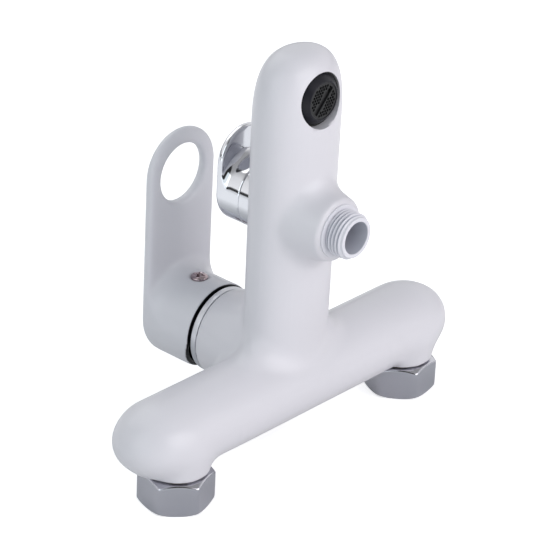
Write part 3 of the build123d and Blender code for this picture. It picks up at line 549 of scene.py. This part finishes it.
@dataclass
class Bench:
    """What every sub-assembly works with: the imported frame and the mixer's finishes."""

    frame: dict
    finishes: Finishes

    def dress(self, finish: str, *nodes: str) -> None:
        """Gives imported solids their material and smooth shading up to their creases.

        Args:
            finish: The name of the finish.
            nodes: The solids' names.
        """
        for name in nodes:
            node = self.frame["nodes"][name]
            node.data.materials.clear()
            node.data.materials.append(self.finishes.of(finish))
            node.data.shade_smooth()
            weld = node.modifiers.new("join_triangles", "WELD")
            weld.merge_threshold = WELD_REACH
            split = node.modifiers.new("creases", "EDGE_SPLIT")
            split.split_angle = CREASE_ANGLE
            split.use_edge_sharp = False
            LOG.info("dressed %s in %s", name, finish)

    def place(self, piece: Piece, finish: str, slot: str, body: Body, *nodes: str) -> None:
        """Finishes a new piece and sets it in the frame.

        Args:
            piece: The new piece.
            finish: The name of its finish.
            slot: The record's material slot; not used.
            body: The body that it rides on.
            nodes: The solids that it stands for.
        """
        piece.data.materials.append(self.finishes.of(finish))
        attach(piece, body.value)
        if nodes:
            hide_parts(*nodes)
        LOG.info("built %s in %s for %s", piece.name, finish, ", ".join(nodes) or "nothing")

    def ring(self, node: str, corners: list[Pair], rounding: float, axis_z: float, columns: int,
             finish: str, slot: str) -> None:
        """Turns a fixed ring with rounded corners about a line along Y, and puts it in for its solid.

        Args:
            node: The solid's name.
            corners: The corners of its section, as radius and place along Y.
            rounding: The length that each round takes off a side.
            axis_z: The height of the line.
            columns: How many points go round.
            finish: The name of the finish.
            slot: The record's material slot.
        """
        section = [rounded_section(corners, rounding).T]
        piece = turned_piece(node + "_rounded", section, Turning.ALONG_Y, (0.0, axis_z), columns)
        self.place(piece, finish, slot, Body.FIXED, node)

    def even_piece(self, node: str, name: str, voxel_mm: float) -> Piece:
        """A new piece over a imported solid: a joined copy of its triangles, made a grid of small even faces.

        Args:
            node: The solid's name.
            name: The piece's name.
            voxel_mm: The size of its faces.

        Returns:
            The piece.
        """
        mesh = self.frame["nodes"][node].data.copy()
        mesh.materials.clear()
        merge_doubles(mesh)
        piece = bpy.data.objects.new(name, mesh)
        bpy.context.scene.collection.objects.link(piece)
        grid = piece.modifiers.new("even_grid", "REMESH")
        grid.mode = "VOXEL"
        grid.voxel_size = voxel_mm * MM
        bpy.context.view_layer.update()
        made = bpy.data.meshes.new_from_object(piece.evaluated_get(bpy.context.evaluated_depsgraph_get()))
        piece.modifiers.clear()
        piece.data = made
        made.name = name
        made.shade_smooth()
        LOG.info("%s has %d faces", name, len(made.polygons))
        return piece


def mesh_points(mesh: bpy.types.Mesh) -> np.ndarray:
    """The points of a mesh, in millimetres."""
    flat = np.empty(len(mesh.vertices) * 3)
    mesh.vertices.foreach_get("co", flat)
    return flat.reshape(-1, 3) / MM


def move_points(mesh: bpy.types.Mesh, points: np.ndarray) -> None:
    """Moves the points of a mesh to the given places, in millimetres."""
    mesh.vertices.foreach_set("co", (points * MM).ravel())
    mesh.update()


def relax(mesh: bpy.types.Mesh, weight: np.ndarray, steps: list[float]) -> None:
    """Fairs a mesh: each step moves a point p to p + step w (m - p), with m the mean of its neighbours.

    Args:
        mesh: The mesh, changed in place.
        weight: How much w each point takes part, from 0 to 1.
        steps: The steps in order; a negative one swells back what a positive one shrank.
    """
    points = mesh_points(mesh)
    ends = np.empty(len(mesh.edges) * 2, dtype=np.int64)
    mesh.edges.foreach_get("vertices", ends)
    ends = ends.reshape(-1, 2)
    here = np.concatenate([ends[:, 0], ends[:, 1]])
    there = np.concatenate([ends[:, 1], ends[:, 0]])
    count = len(points)
    degree = np.bincount(here, minlength=count)[:, None]
    for step in steps:
        total = np.stack([np.bincount(here, points[there, axis], count) for axis in range(3)], axis=1)
        points = points + step * weight[:, None] * (total / degree - points)
    move_points(mesh, points)


def ramp(values: np.ndarray, start: float, end: float) -> np.ndarray:
    """A straight ramp from 0 at start to 1 at end: clip((v - start) / (end - start), 0, 1)."""
    return np.clip((values - start) / (end - start), 0.0, 1.0)


def eased(share: np.ndarray) -> np.ndarray:
    """A ramp with soft ends: 3 s^2 - 2 s^3."""
    return share ** 2 * (3 - 2 * share)


@dataclass
class UnionNut:
    """A captive hexagon nut with a real inner thread, in millimetres."""

    name: str
    body: Body
    centre_x: float
    turn: float
    across_flats: float = 30.0
    height: float = 15.3
    wall_face: float = 15.2
    body_face: float = 14.6
    chamfer: float = 30.0
    thread_minor: float = 12.06
    thread_major: float = 13.22
    thread_pitch: float = 1.814
    thread_end: float = 7.2
    relief: float = 12.9
    lip: float = 12.5
    hole: float = 10.6
    corner_power: float = 45.0
    edge_softness: float = 0.4
    lip_edge: float = 0.25
    mouth_edge: float = 0.1
    thread_share: float = 0.9
    thread_fade: float = 0.8
    thread_rows: int = 72
    low_rows: tuple[float, float, int] = (0.0, 2.0, 16)
    flat_rows: tuple[float, float, int] = (2.3, 12.7, 8)
    high_start: float = 13.0
    high_rows: int = 18
    columns: int = 288

    def hexagon(self, angle: np.ndarray) -> np.ndarray:
        """The hexagon's radius at each angle: half the flats over a p-norm of the six flats' cosines."""
        flats = np.radians(self.turn + 30.0 + 60.0 * np.arange(6))[:, None]
        facing = np.clip(np.cos(angle[None, :] - flats), 0.0, None)
        return self.across_flats / 2 / (facing ** self.corner_power).sum(0) ** (1 / self.corner_power)

    def outside(self, angle: np.ndarray, heights: np.ndarray) -> np.ndarray:
        """The outside radius: the hexagon, cut by a chamfer cone at each end with soft edges.

        Args:
            angle: The angles round the nut.
            heights: The heights up the nut.

        Returns:
            An array of heights by angles.
        """
        slope = math.tan(math.radians(self.chamfer))
        low = self.wall_face + heights / slope
        high = self.body_face + (self.height - heights) / slope
        cones = soft_min(low, high, self.edge_softness)[:, None]
        return soft_min(self.hexagon(angle)[None, :], cones, self.edge_softness)

    def thread(self, angle: np.ndarray, heights: np.ndarray) -> np.ndarray:
        """The inner thread's radius: a triangle wave that climbs one pitch each turn, fading at both ends.

        Args:
            angle: The angles round the nut.
            heights: The heights up the nut.

        Returns:
            An array of heights by angles.
        """
        phase = heights[:, None] / self.thread_pitch - angle[None, :] / (2 * np.pi)
        wave = 1 - 2 * np.abs(phase % 1.0 - 0.5)
        depth = self.thread_major - self.thread_minor
        fade = ramp(heights, self.thread_end, self.thread_end - self.thread_fade)[:, None]
        return self.thread_minor + depth * self.thread_share * fade * wave

    def build(self, bench: Bench) -> None:
        """Builds the nut as one closed section carried round its axis, with close rows at its two chamfers.

        Args:
            bench: The frame and the finishes.
        """
        angle = round_angles(self.columns)
        climb = np.concatenate([np.linspace(*self.low_rows), np.linspace(*self.flat_rows),
                                np.linspace(self.high_start, self.height, self.high_rows)])
        cut = np.linspace(self.thread_end, self.thread_major - self.thread_minor, self.thread_rows)
        inner = np.array([(self.hole + self.lip_edge, self.height), (self.hole, self.height - self.lip_edge),
                          (self.hole, self.lip), (self.relief, self.lip), (self.relief, self.thread_end)])
        mouth = np.array([(self.thread_major + self.mouth_edge, 0.0)])
        section = [(self.outside(angle, climb), climb), inner.T, (self.thread(angle, cut), cut), mouth.T]
        piece = turned_piece(self.name + "_threaded", section, Turning.ALONG_Z, (self.centre_x, 0.0),
                             self.columns)
        bench.place(piece, "nut_chrome", "chrome", self.body, self.name)


@dataclass
class Inlets:
    """The bar's two inlets: union nuts, tailpieces, rings and washers."""

    left_turn: float = 17.9
    right_turn: float = 7.4

    def build(self, bench: Bench) -> None:
        """Builds both nuts and dresses what they hold.

        Args:
            bench: The frame and the finishes.
        """
        UnionNut("left_union_nut", Body.LEFT_NUT, -HALF_SPACING, self.left_turn).build(bench)
        UnionNut("right_union_nut", Body.RIGHT_NUT, HALF_SPACING, self.right_turn).build(bench)
        bench.dress("brass", "left_tailpiece", "right_tailpiece")
        bench.dress("rubber", "left_tailpiece_ring", "right_tailpiece_ring", "left_inlet_washer",
                    "right_inlet_washer")


@dataclass
class Casting:
    """The white casting: bar, knees, column, housing and boss, in millimetres."""

    knee_inside: float = 13.5
    knee_outside: float = 29.0
    knee_low: float = 17.5
    knee_high: float = 42.0
    knee_fades: tuple[float, float, float, float] = (1.5, 5.0, 2.0, 8.0)
    voxel: float = 1.05
    fairing: int = 8
    knee_passes: int = 60
    bore_radius: float = 12.4
    bore_end: float = 5.5
    bore_band: float = 0.9
    rim_crease: float = 50.0
    column_offset: float = 6.7
    column_width: float = 22.5
    column_depth: float = 16.0
    shoulder: float = 154.7
    dome: float = 35.0
    dome_power: float = 2.92
    dome_fullness: float = 1.017

    def knee_share(self, points: np.ndarray) -> np.ndarray:
        """How much each point belongs to the blend of a knee: a product of ramps of its radius and height.

        Args:
            points: The casting's points.

        Returns:
            The shares, from 0 to 1.
        """
        radius = np.hypot(np.abs(points[:, 0]) - HALF_SPACING, points[:, 1])
        inner, outer, lower, upper = self.knee_fades
        near = ramp(radius, self.knee_inside, self.knee_inside + inner)
        near = near * ramp(radius, self.knee_outside, self.knee_outside - outer)
        level = ramp(points[:, 2], self.knee_low, self.knee_low + lower)
        return near * level * ramp(points[:, 2], self.knee_high, self.knee_high - upper)

    def face_y(self, x: np.ndarray, z: np.ndarray) -> np.ndarray:
        """Where the column's front lies: y = offset - D s sqrt(1 - (x / W s)^2), with a share s at z.

        The share is (f (1 - ((z - shoulder) / dome)^p))^(1 / p), with a fullness f.

        Args:
            x: The points' places along X.
            z: Their heights.

        Returns:
            The places of the face along Y.
        """
        rise = ramp(z, self.shoulder, self.shoulder + self.dome)
        share = (self.dome_fullness * (1 - rise ** self.dome_power)) ** (1 / self.dome_power)
        inside = np.clip(1 - (x / (self.column_width * share)) ** 2, 0.0, 1.0)
        return self.column_offset - self.column_depth * share * np.sqrt(inside)

    def true_bore(self, mesh: bpy.types.Mesh) -> None:
        """Sets the aerator's bore back to a true cylinder, with a crisp rim on the column's face.

        A point near the cylinder goes to its radius. Where it also lies near the face, it goes to the rim.

        Args:
            mesh: The casting's mesh, changed in place.
        """
        points = mesh_points(mesh)
        across, up = points[:, 0], points[:, 2] - AERATOR_Z
        radius = np.hypot(across, up)
        wall = (np.abs(radius - self.bore_radius) < self.bore_band) & (points[:, 1] < self.bore_end)
        share = np.where(wall, self.bore_radius / np.maximum(radius, TINY), 1.0)
        points[:, 0] = across * share
        points[:, 2] = AERATOR_Z + up * share
        face = self.face_y(points[:, 0], points[:, 2])
        rim = wall & (points[:, 1] < face + self.bore_band)
        points[:, 1] = np.where(rim, face, points[:, 1])
        move_points(mesh, points)
        mesh.set_sharp_from_angle(angle=math.radians(self.rim_crease))

    def build(self, bench: Bench) -> None:
        """Builds the casting with the soft edges and blends that thick paint gives it.

        Args:
            bench: The frame and the finishes.
        """
        piece = bench.even_piece("body_casting", "body_casting_painted", self.voxel)
        points = mesh_points(piece.data)
        relax(piece.data, np.ones(len(points)), FAIRING_STEPS * self.fairing)
        relax(piece.data, self.knee_share(points), SHRINKING_STEP * self.knee_passes)
        self.true_bore(piece.data)
        bench.place(piece, "paint", "white_casting", Body.FIXED, "body_casting")


@dataclass
class ShowerOutlet:
    """The threaded outlet for a shower hose, in millimetres."""

    boss_end: float = -20.8
    grip: float = 11.0
    grip_radius: float = 9.0
    ring_section: float = 1.2
    flange_radius: float = 12.2
    flange: float = 0.8
    root: float = 9.316
    crest: float = 10.478
    pitch: float = 1.814
    crest_width: float = 0.35
    flank_width: float = 0.55
    first_crest: float = -23.94
    tip: float = -30.78
    thread_stop: float = -29.5
    bore: float = 7.4
    seen_angle: float = 146.0
    edge: float = 0.3
    edge_bulge: Pair = (0.1, 0.08)
    clear: float = 0.02
    ring_room: float = 0.05
    run_in: Pair = (0.25, 0.5)
    cone_slope: float = 1.1
    cone_start: float = 0.2
    cone_softness: float = 0.05
    nose: float = 0.35
    nose_outer: Pair = (0.12, 0.4)
    nose_inner: float = 0.1
    run_rows: int = 150
    columns: int = 256

    def thread(self, angle: np.ndarray, run: np.ndarray) -> np.ndarray:
        """The thread's radius: root plus a smooth ridge that moves one pitch each turn, inside a lead cone.

        The ridge is an eased ramp that falls from 1 to 0 over the flank on each side of the crest.

        Args:
            angle: The angles round the axis.
            run: The places along Y.

        Returns:
            An array of places by angles.
        """
        lead = (angle[None, :] - math.radians(self.seen_angle)) / (2 * np.pi)
        turns = (self.first_crest - run[:, None]) / self.pitch + lead
        beside = np.abs(turns - np.round(turns)) * self.pitch
        ridge = eased(ramp(beside, self.crest_width / 2 + self.flank_width, self.crest_width / 2))
        begin = self.boss_end - self.flange - self.run_in[0]
        start = ramp(run, begin, begin - self.run_in[1])[:, None]
        lead_in = np.clip(run - self.thread_stop, -1.0, None)[:, None]
        cone = self.root + lead_in * self.cone_slope + self.cone_start
        radius = self.root + (self.crest - self.root) * ridge * start
        return np.maximum(soft_min(radius, cone, self.cone_softness), self.root - self.clear)

    def build(self, bench: Bench) -> None:
        """Builds the outlet as one closed section carried round its axis, and dresses its ring.

        Args:
            bench: The frame and the finishes.
        """
        angle = round_angles(self.columns)
        inner_end = self.boss_end + self.grip
        low, high = self.boss_end - self.flange - self.clear, self.boss_end - self.clear
        groove = inner_end - self.grip / 3
        half = self.ring_section / 2 + self.ring_room
        floor, grip = self.grip_radius - self.ring_section - self.clear, self.grip_radius
        outer, (bulge, sink) = self.flange_radius, self.edge_bulge
        stem = np.array([(self.bore, inner_end), (grip, inner_end), (grip, groove + half),
                         (floor, groove + half), (floor, groove - half), (grip, groove - half), (grip, high),
                         (outer - self.edge, high), (outer - bulge, high - sink), (outer, high - self.edge),
                         (outer, low + self.edge), (outer - bulge, low + sink), (outer - self.edge, low)])
        run = np.linspace(low, self.tip + self.nose, self.run_rows)
        edge, flat = self.nose_outer
        bore, tip, inner = self.bore, self.tip, self.nose_inner
        nose = np.array([(self.root - edge, tip + edge), (self.root - flat, tip), (bore + self.nose, tip),
                         (bore + inner, tip + inner), (bore, tip + self.nose)])
        section = [stem.T, (self.thread(angle, run), run), nose.T]
        piece = turned_piece("shower_nipple_threaded", section, Turning.ALONG_Y, (0.0, OUTLET_Z),
                             self.columns)
        bench.place(piece, "outlet_paint", "white_casting", Body.FIXED, "shower_nipple")
        bench.dress("rubber", "shower_nipple_ring")


@dataclass
class Cartridge:
    """The mixing cartridge and the rings that close its housing, in millimetres."""

    cover_low: float = 42.32
    cover_radius: float = 20.3
    cover_height: float = 3.0
    cover_dome: float = 2.0
    cover_hole: float = 13.6
    skirt: float = 18.55
    glide_low: float = 45.34
    glide_height: float = 0.9
    glide_outer: float = 19.7
    glide_inner: float = 16.72
    clear: float = 0.02
    step: float = 1.0
    cover_round: float = 0.35
    glide_round: float = 0.25
    columns: int = 192

    def build(self, bench: Bench) -> None:
        """Builds the chrome cover ring and the black glide ring, and dresses the cartridge's solids.

        Args:
            bench: The frame and the finishes.
        """
        low, skirt, hole = self.cover_low, self.skirt, self.cover_hole
        high = low + self.cover_height
        dome = high + self.cover_dome
        end, inside = low - self.step, skirt - self.step
        cover = [(hole, low), (hole, dome), (hole + self.step, dome), (self.glide_inner - self.clear, high),
                 (self.cover_radius, high), (self.cover_radius, low), (skirt, low), (skirt, end),
                 (inside, end), (inside, low)]
        bench.ring("cover_ring", cover, self.cover_round, LEVER_Z, self.columns, "ring_chrome", "chrome")
        low, high = self.glide_low, self.glide_low + self.glide_height
        inner, outer = self.glide_inner, self.glide_outer
        glide = [(inner, low), (outer, low), (outer, high), (inner, high)]
        bench.ring("glide_ring", glide, self.glide_round, LEVER_Z, self.columns, "gap_black",
                   "black_plastic")
        bench.dress("grey", "cartridge_base", "cartridge_rotor", "cartridge_casing", "disc_carrier")
        bench.dress("ceramic", "fixed_ceramic_disc", "moving_ceramic_disc")
        bench.dress("rubber", "cartridge_port_seals")
        bench.dress("brass", "retaining_nut", "lever_stem")
        bench.dress("steel", "lever_pin")


@dataclass
class CrossScrew:
    """The lever's screw: it points down and has an oval head with a cross recess, in millimetres."""

    place_y: float = 60.0
    seat_z: float = 59.02
    tip_z: float = 43.12
    head_radius: float = 4.0
    head_height: float = 2.2
    shank_radius: float = 2.0
    cross_length: float = 5.4
    cross_width: float = 1.3
    cross_depth: float = 1.7
    turn: float = 25.0
    columns: int = 144
    crown_rows: int = 64
    wing_slope: float = 0.12
    wing_end: float = 0.3
    edge: float = 0.3
    head_edge: float = 0.1
    rim_share: float = 0.45
    crown_power: float = 2.4
    wing_power: float = 0.6

    def recess(self, across: np.ndarray, along: np.ndarray) -> np.ndarray:
        """How deep the cross is at a point of the head: two wings with sloping walls, deepest at the centre.

        Each wing is the product of a smooth step over its half width and one over its half length.

        Args:
            across: The points' places along X.
            along: The points' places along Y.

        Returns:
            The depths.
        """
        turn = math.radians(self.turn)
        first = across * math.cos(turn) + along * math.sin(turn)
        second = along * math.cos(turn) - across * math.sin(turn)
        wings = []
        for length, width in ((first, second), (second, first)):
            half = self.cross_width / 2
            side = ramp(np.abs(width), half + self.wing_slope, half - self.wing_slope)
            end = ramp(np.abs(length), self.cross_length / 2, self.cross_length * (0.5 - self.wing_end))
            wings.append(eased(side) * end ** self.wing_power)
        return self.cross_depth * np.maximum(*wings)

    def build(self, bench: Bench) -> None:
        """Builds the screw from its tip up to the crown of its head.

        Args:
            bench: The frame and the finishes.
        """
        angle = round_angles(self.columns)[None, :]
        low = np.array([(TINY, self.tip_z), (self.shank_radius - self.edge, self.tip_z),
                        (self.shank_radius, self.tip_z + self.edge), (self.shank_radius, self.seat_z),
                        (self.head_radius - self.head_edge, self.seat_z),
                        (self.head_radius, self.seat_z + self.head_edge)])
        share = np.linspace(1.0, TINY, self.crown_rows)
        radius = self.head_radius * share[:, None] * np.ones_like(angle)
        crown = np.sqrt(1 - share ** self.crown_power)
        dome = self.head_height * (self.rim_share + (1 - self.rim_share) * crown)
        height = self.seat_z + dome[:, None] - self.recess(radius * np.cos(angle), radius * np.sin(angle))
        piece = turned_piece("lever_screw_domed", [low.T, (radius, height)], Turning.ALONG_Z,
                             (0.0, self.place_y), self.columns, poles=True)
        bench.place(piece, "screw_chrome", "chrome", Body.LEVER, "lever_screw")


@dataclass
class Lever:
    """The lever with its screw, in millimetres."""

    screw: CrossScrew = field(default_factory=CrossScrew)
    screw_room: Pair = (5.2, 8.2)
    plate: Pair = (64.0, 70.0)
    rim: Pair = (47.4, 50.9)
    least_softness: float = 0.05
    voxel: float = 0.62
    fairing: int = 4
    passes: int = 26

    def softness(self, points: np.ndarray) -> np.ndarray:
        """How far each point may soften: not at the skirt's rim, and little in the screw's recess.

        The share is a ramp of y above the rim times a ramp of the distance from the screw's axis.

        Args:
            points: The lever's points.

        Returns:
            The shares, from 0 to 1.
        """
        beside = np.hypot(points[:, 0], points[:, 1] - self.screw.place_y)
        above = np.maximum(ramp(beside, *self.screw_room), ramp(points[:, 2], *self.plate))
        return ramp(points[:, 1], *self.rim) * np.maximum(above, self.least_softness)

    def build(self, bench: Bench) -> None:
        """Builds the lever with softened blends, and its screw.

        Args:
            bench: The frame and the finishes.
        """
        piece = bench.even_piece("lever_handle", "lever_handle_painted", self.voxel)
        points = mesh_points(piece.data)
        relax(piece.data, np.ones(len(points)), FAIRING_STEPS * self.fairing)
        relax(piece.data, self.softness(points), SHRINKING_STEP * self.passes)
        bench.place(piece, "lever_paint", "white_lever", Body.LEVER, "lever_handle")
        self.screw.build(bench)


@dataclass
class Diverter:
    """The diverter's knob and valve, in millimetres."""

    voxel: float = 0.38
    fairing: int = 6
    passes: int = 10

    def build(self, bench: Bench) -> None:
        """Builds the knob with polished-over edges, and dresses the valve's solids.

        Args:
            bench: The frame and the finishes.
        """
        piece = bench.even_piece("diverter_knob", "diverter_knob_polished", self.voxel)
        steps = SHRINKING_STEP * self.passes + FAIRING_STEPS * self.fairing
        relax(piece.data, np.ones(len(piece.data.vertices)), steps)
        bench.place(piece, "chrome", "chrome", Body.DIVERTER, "diverter_knob")
        bench.dress("chrome", "diverter_collar")
        bench.dress("brass", "diverter_bonnet", "diverter_spindle")
        bench.dress("steel", "spindle_clip", "knob_screw")
        bench.dress("ceramic", "diverter_fixed_disc", "diverter_moving_disc")
        bench.dress("rubber", "diverter_seat_seal", "bonnet_ring", "spindle_rings")


@dataclass
class Aerator:
    """The aerator in the column's face, in millimetres."""

    sleeve_radius: float = 12.3
    sleeve_front: float = -5.2
    sleeve_back: float = 4.2
    seat_radius: float = 8.4
    nozzle_radius: float = 11.4
    nozzle_tip: float = 8.8
    mesh_front: float = -8.1
    mesh_radius: float = 8.25
    mesh_thickness: float = 1.2
    room: float = 0.05
    step: float = 1.0
    sleeve_round: float = 0.4
    nozzle_round: float = 0.3
    columns: int = 160

    def build(self, bench: Bench) -> None:
        """Builds the sleeve and the nozzle with rounded rims, and dresses the mesh and what is behind it.

        Args:
            bench: The frame and the finishes.
        """
        inner, outer, seat = self.nozzle_radius + self.room, self.sleeve_radius, self.seat_radius
        front, back, lip = self.sleeve_front, self.sleeve_back, self.sleeve_back - self.step
        sleeve = [(inner, front), (outer, front), (outer, back), (seat, back), (seat, lip), (inner, lip)]
        bench.ring("aerator_housing", sleeve, self.sleeve_round, AERATOR_Z, self.columns, "black",
                   "black_plastic")
        back, hole, tip = lip - self.room, self.mesh_radius, self.mesh_front
        inside, ledge = hole - self.step, tip + self.mesh_thickness + self.room
        nozzle = [(inside, back), (self.nozzle_radius, back), (self.nozzle_radius, front),
                  (self.nozzle_tip, tip), (hole, tip), (hole, ledge), (inside, ledge)]
        bench.ring("aerator_nozzle", nozzle, self.nozzle_round, AERATOR_Z, self.columns, "nozzle_black",
                   "black_plastic")
        bench.dress("web", "aerator_mesh")
        bench.dress("black", "aerator_filter")
        bench.dress("rubber", "aerator_gasket")


@dataclass(frozen=True)
class Softbox:
    """One soft lamp, in millimetres."""

    name: str
    place: Triple
    size: float
    power: float
    colour: Colour = (1.0, 1.0, 1.0)

    def build(self, aim: Vector) -> None:
        """Hangs the lamp and turns it to the aim.

        Args:
            aim: The point that it lights, in metres.
        """
        light = bpy.data.lights.new(self.name, "AREA")
        light.shape = "SQUARE"
        light.size = self.size * MM
        light.energy = self.power
        light.color = self.colour
        lamp = bpy.data.objects.new(self.name, light)
        lamp.location = Vector(self.place) * MM
        lamp.rotation_euler = (aim - lamp.location).to_track_quat("-Z", "Y").to_euler()
        bpy.context.scene.collection.objects.link(lamp)


@dataclass
class Studio:
    """A pale floor, soft lamps and the camera at the photograph's angle."""

    aim: Triple = (0.0, 10.0, 90.0)
    floor_half: float = 6000.0
    floor_gap: float = 0.05
    floor_colour: Colour = (0.80, 0.80, 0.80)
    floor_glow: float = 0.6
    mirror_glow: float = 0.5
    shade_near: float = 0.12
    shade_far: float = 0.22
    sky: Colour = (0.83, 0.90, 0.95)
    ground: Colour = (0.70, 0.74, 0.78)
    sky_strength: float = 0.42
    sky_low: float = -0.4
    mirror_steps: tuple[Pair, ...] = ((0.0, 0.04), (0.09, 0.04), (0.13, 1.15), (0.55, 1.0), (0.8, 0.45))
    dark_side: Triple = (-0.672, -0.583, 0.457)
    dark_spread: Pair = (0.84, 0.90)
    dark_level: float = 0.04
    target: Triple = (-19.38, -5.37, 89.82)
    distance: float = 1270.62
    azimuth: float = -49.08
    elevation: float = 27.21
    roll: float = 2.95
    focal_pixels: float = 2936.37
    frame_pixels: float = 560.0
    sensor: float = 36.0
    view_depth: float = 50.0

    def softboxes(self) -> list[Softbox]:
        """The lamps: a key from the outlet's side, a weaker fill from the left and one above the lever."""
        return [
            Softbox("key_lamp", (250.0, -1500.0, 620.0), 1500.0, 17.0, (1.0, 0.965, 0.985)),
            Softbox("left_fill_lamp", (-1350.0, -250.0, 600.0), 1300.0, 6.0, (0.90, 0.98, 1.0)),
            Softbox("rear_lamp", (100.0, 1050.0, 1300.0), 1300.0, 7.0),
        ]

    def floor(self) -> None:
        """Lays the floor: pale, with a glow that only the camera and, away from the mixer, mirrors see."""
        half = self.floor_half * MM
        mesh = bpy.data.meshes.new("studio_floor")
        corners = [(-half, -half, 0), (half, -half, 0), (half, half, 0), (-half, half, 0)]
        mesh.from_pydata(corners, [], [(0, 1, 2, 3)])
        floor = bpy.data.objects.new("studio_floor", mesh)
        floor.location.z = -self.floor_gap * MM
        bpy.context.scene.collection.objects.link(floor)
        graph = ShaderGraph("pale_floor")
        away = graph.add("VectorMath", "Value", {0: graph.place}, operation="LENGTH")
        clear = graph.ramped(away, self.shade_near, self.shade_far)
        path = graph.nodes.new("ShaderNodeLightPath")
        mirrored = graph.combined("MULTIPLY", graph.mirrored(path), clear)
        glows = [graph.combined("MULTIPLY", seen, strength)
                 for seen, strength in ((path.outputs["Is Camera Ray"], self.floor_glow),
                                        (mirrored, self.mirror_glow))]
        graph.fill(graph.shader, {
            "Metallic": 0.0, "Roughness": 0.9, "Base Color": (*self.floor_colour, 1.0),
            "Emission Color": WHITE, "Emission Strength": graph.combined("ADD", *glows),
        })
        mesh.materials.append(graph.material)

    def sky_light(self) -> None:
        """Fills the room with soft light. Mirrors see a backdrop of their own, and the camera sees white."""
        world = bpy.data.worlds.new("studio_room")
        world.use_nodes = True
        bpy.context.scene.world = world
        sheet = NodeSheet(world.node_tree)
        view = sheet.add("TexCoord", "Generated", {})
        height = sheet.add("SeparateXYZ", "Z", {"Vector": view})
        tone = sheet.blend(sheet.ramped(height, self.sky_low, 1.0), self.ground, self.sky)
        room = sheet.nodes["Background"]
        sheet.fill(room, {"Strength": self.sky_strength, "Color": tone})
        levels = sheet.add("ValToRGB", "Color", {"Fac": height})
        points = levels.node.color_ramp.elements
        while len(points) < len(self.mirror_steps):
            points.new(0.5)
        for point, (rise, level) in zip(points, self.mirror_steps):
            point.position = rise
            point.color = (level, level, level, 1.0)
        toward = sheet.add("VectorMath", "Value", {0: view, 1: self.dark_side}, operation="DOT_PRODUCT")
        strength = sheet.ramped(toward, *self.dark_spread, 1.0, self.dark_level)
        backdrop = sheet.add("Background", "Background", {"Color": levels, "Strength": strength})
        white = sheet.add("Background", "Background", {"Color": WHITE})
        path = sheet.nodes.new("ShaderNodeLightPath")
        lit = room.outputs["Background"]
        for factor, shader in ((sheet.mirrored(path), backdrop), (path.outputs["Is Camera Ray"], white)):
            lit = sheet.add("MixShader", "Shader", {"Fac": factor, 1: lit, 2: shader})
        sheet.fill(sheet.nodes["World Output"], {"Surface": lit})

    def camera(self) -> None:
        """Sets the camera: at a distance from its target by azimuth and elevation, then rolled."""
        turn, tilt, roll = (math.radians(value) for value in (self.azimuth, self.elevation, self.roll))
        back = Vector((math.sin(turn) * math.cos(tilt), -math.cos(turn) * math.cos(tilt), math.sin(tilt)))
        level = Vector((0, 0, 1)).cross(back).normalized()
        upright = back.cross(level)
        right = level * math.cos(roll) + upright * math.sin(roll)
        up = upright * math.cos(roll) - level * math.sin(roll)
        eye = (Vector(self.target) + back * self.distance) * MM
        camera = bpy.data.objects.new("photo_camera", bpy.data.cameras.new("photo_camera"))
        camera.data.sensor_width = self.sensor
        camera.data.lens = self.focal_pixels / self.frame_pixels * self.sensor
        camera.data.clip_end = self.view_depth
        camera.matrix_world = Matrix.Translation(eye) @ Matrix((right, up, back)).transposed().to_4x4()
        bpy.context.scene.collection.objects.link(camera)
        bpy.context.scene.camera = camera

    def build(self) -> None:
        """Builds the whole studio and sets plain colour handling."""
        bpy.context.scene.view_settings.view_transform = "Standard"
        self.camera()
        self.floor()
        self.sky_light()
        for softbox in self.softboxes():
            softbox.build(Vector(self.aim) * MM)
        LOG.info("built the studio")


def main() -> None:
    """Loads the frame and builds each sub-assembly in order."""
    logging.basicConfig(level=logging.INFO, format="%(name)s: %(message)s")
    for thing in list(bpy.data.objects):
        bpy.data.objects.remove(thing)
    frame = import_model()
    bench = Bench(frame, Finishes())
    Studio().build()
    for assembly in (Casting(), Inlets(), ShowerOutlet(), Cartridge(), Lever(), Diverter(), Aerator()):
        assembly.build(bench)


if __name__ == "__main__":
    main()
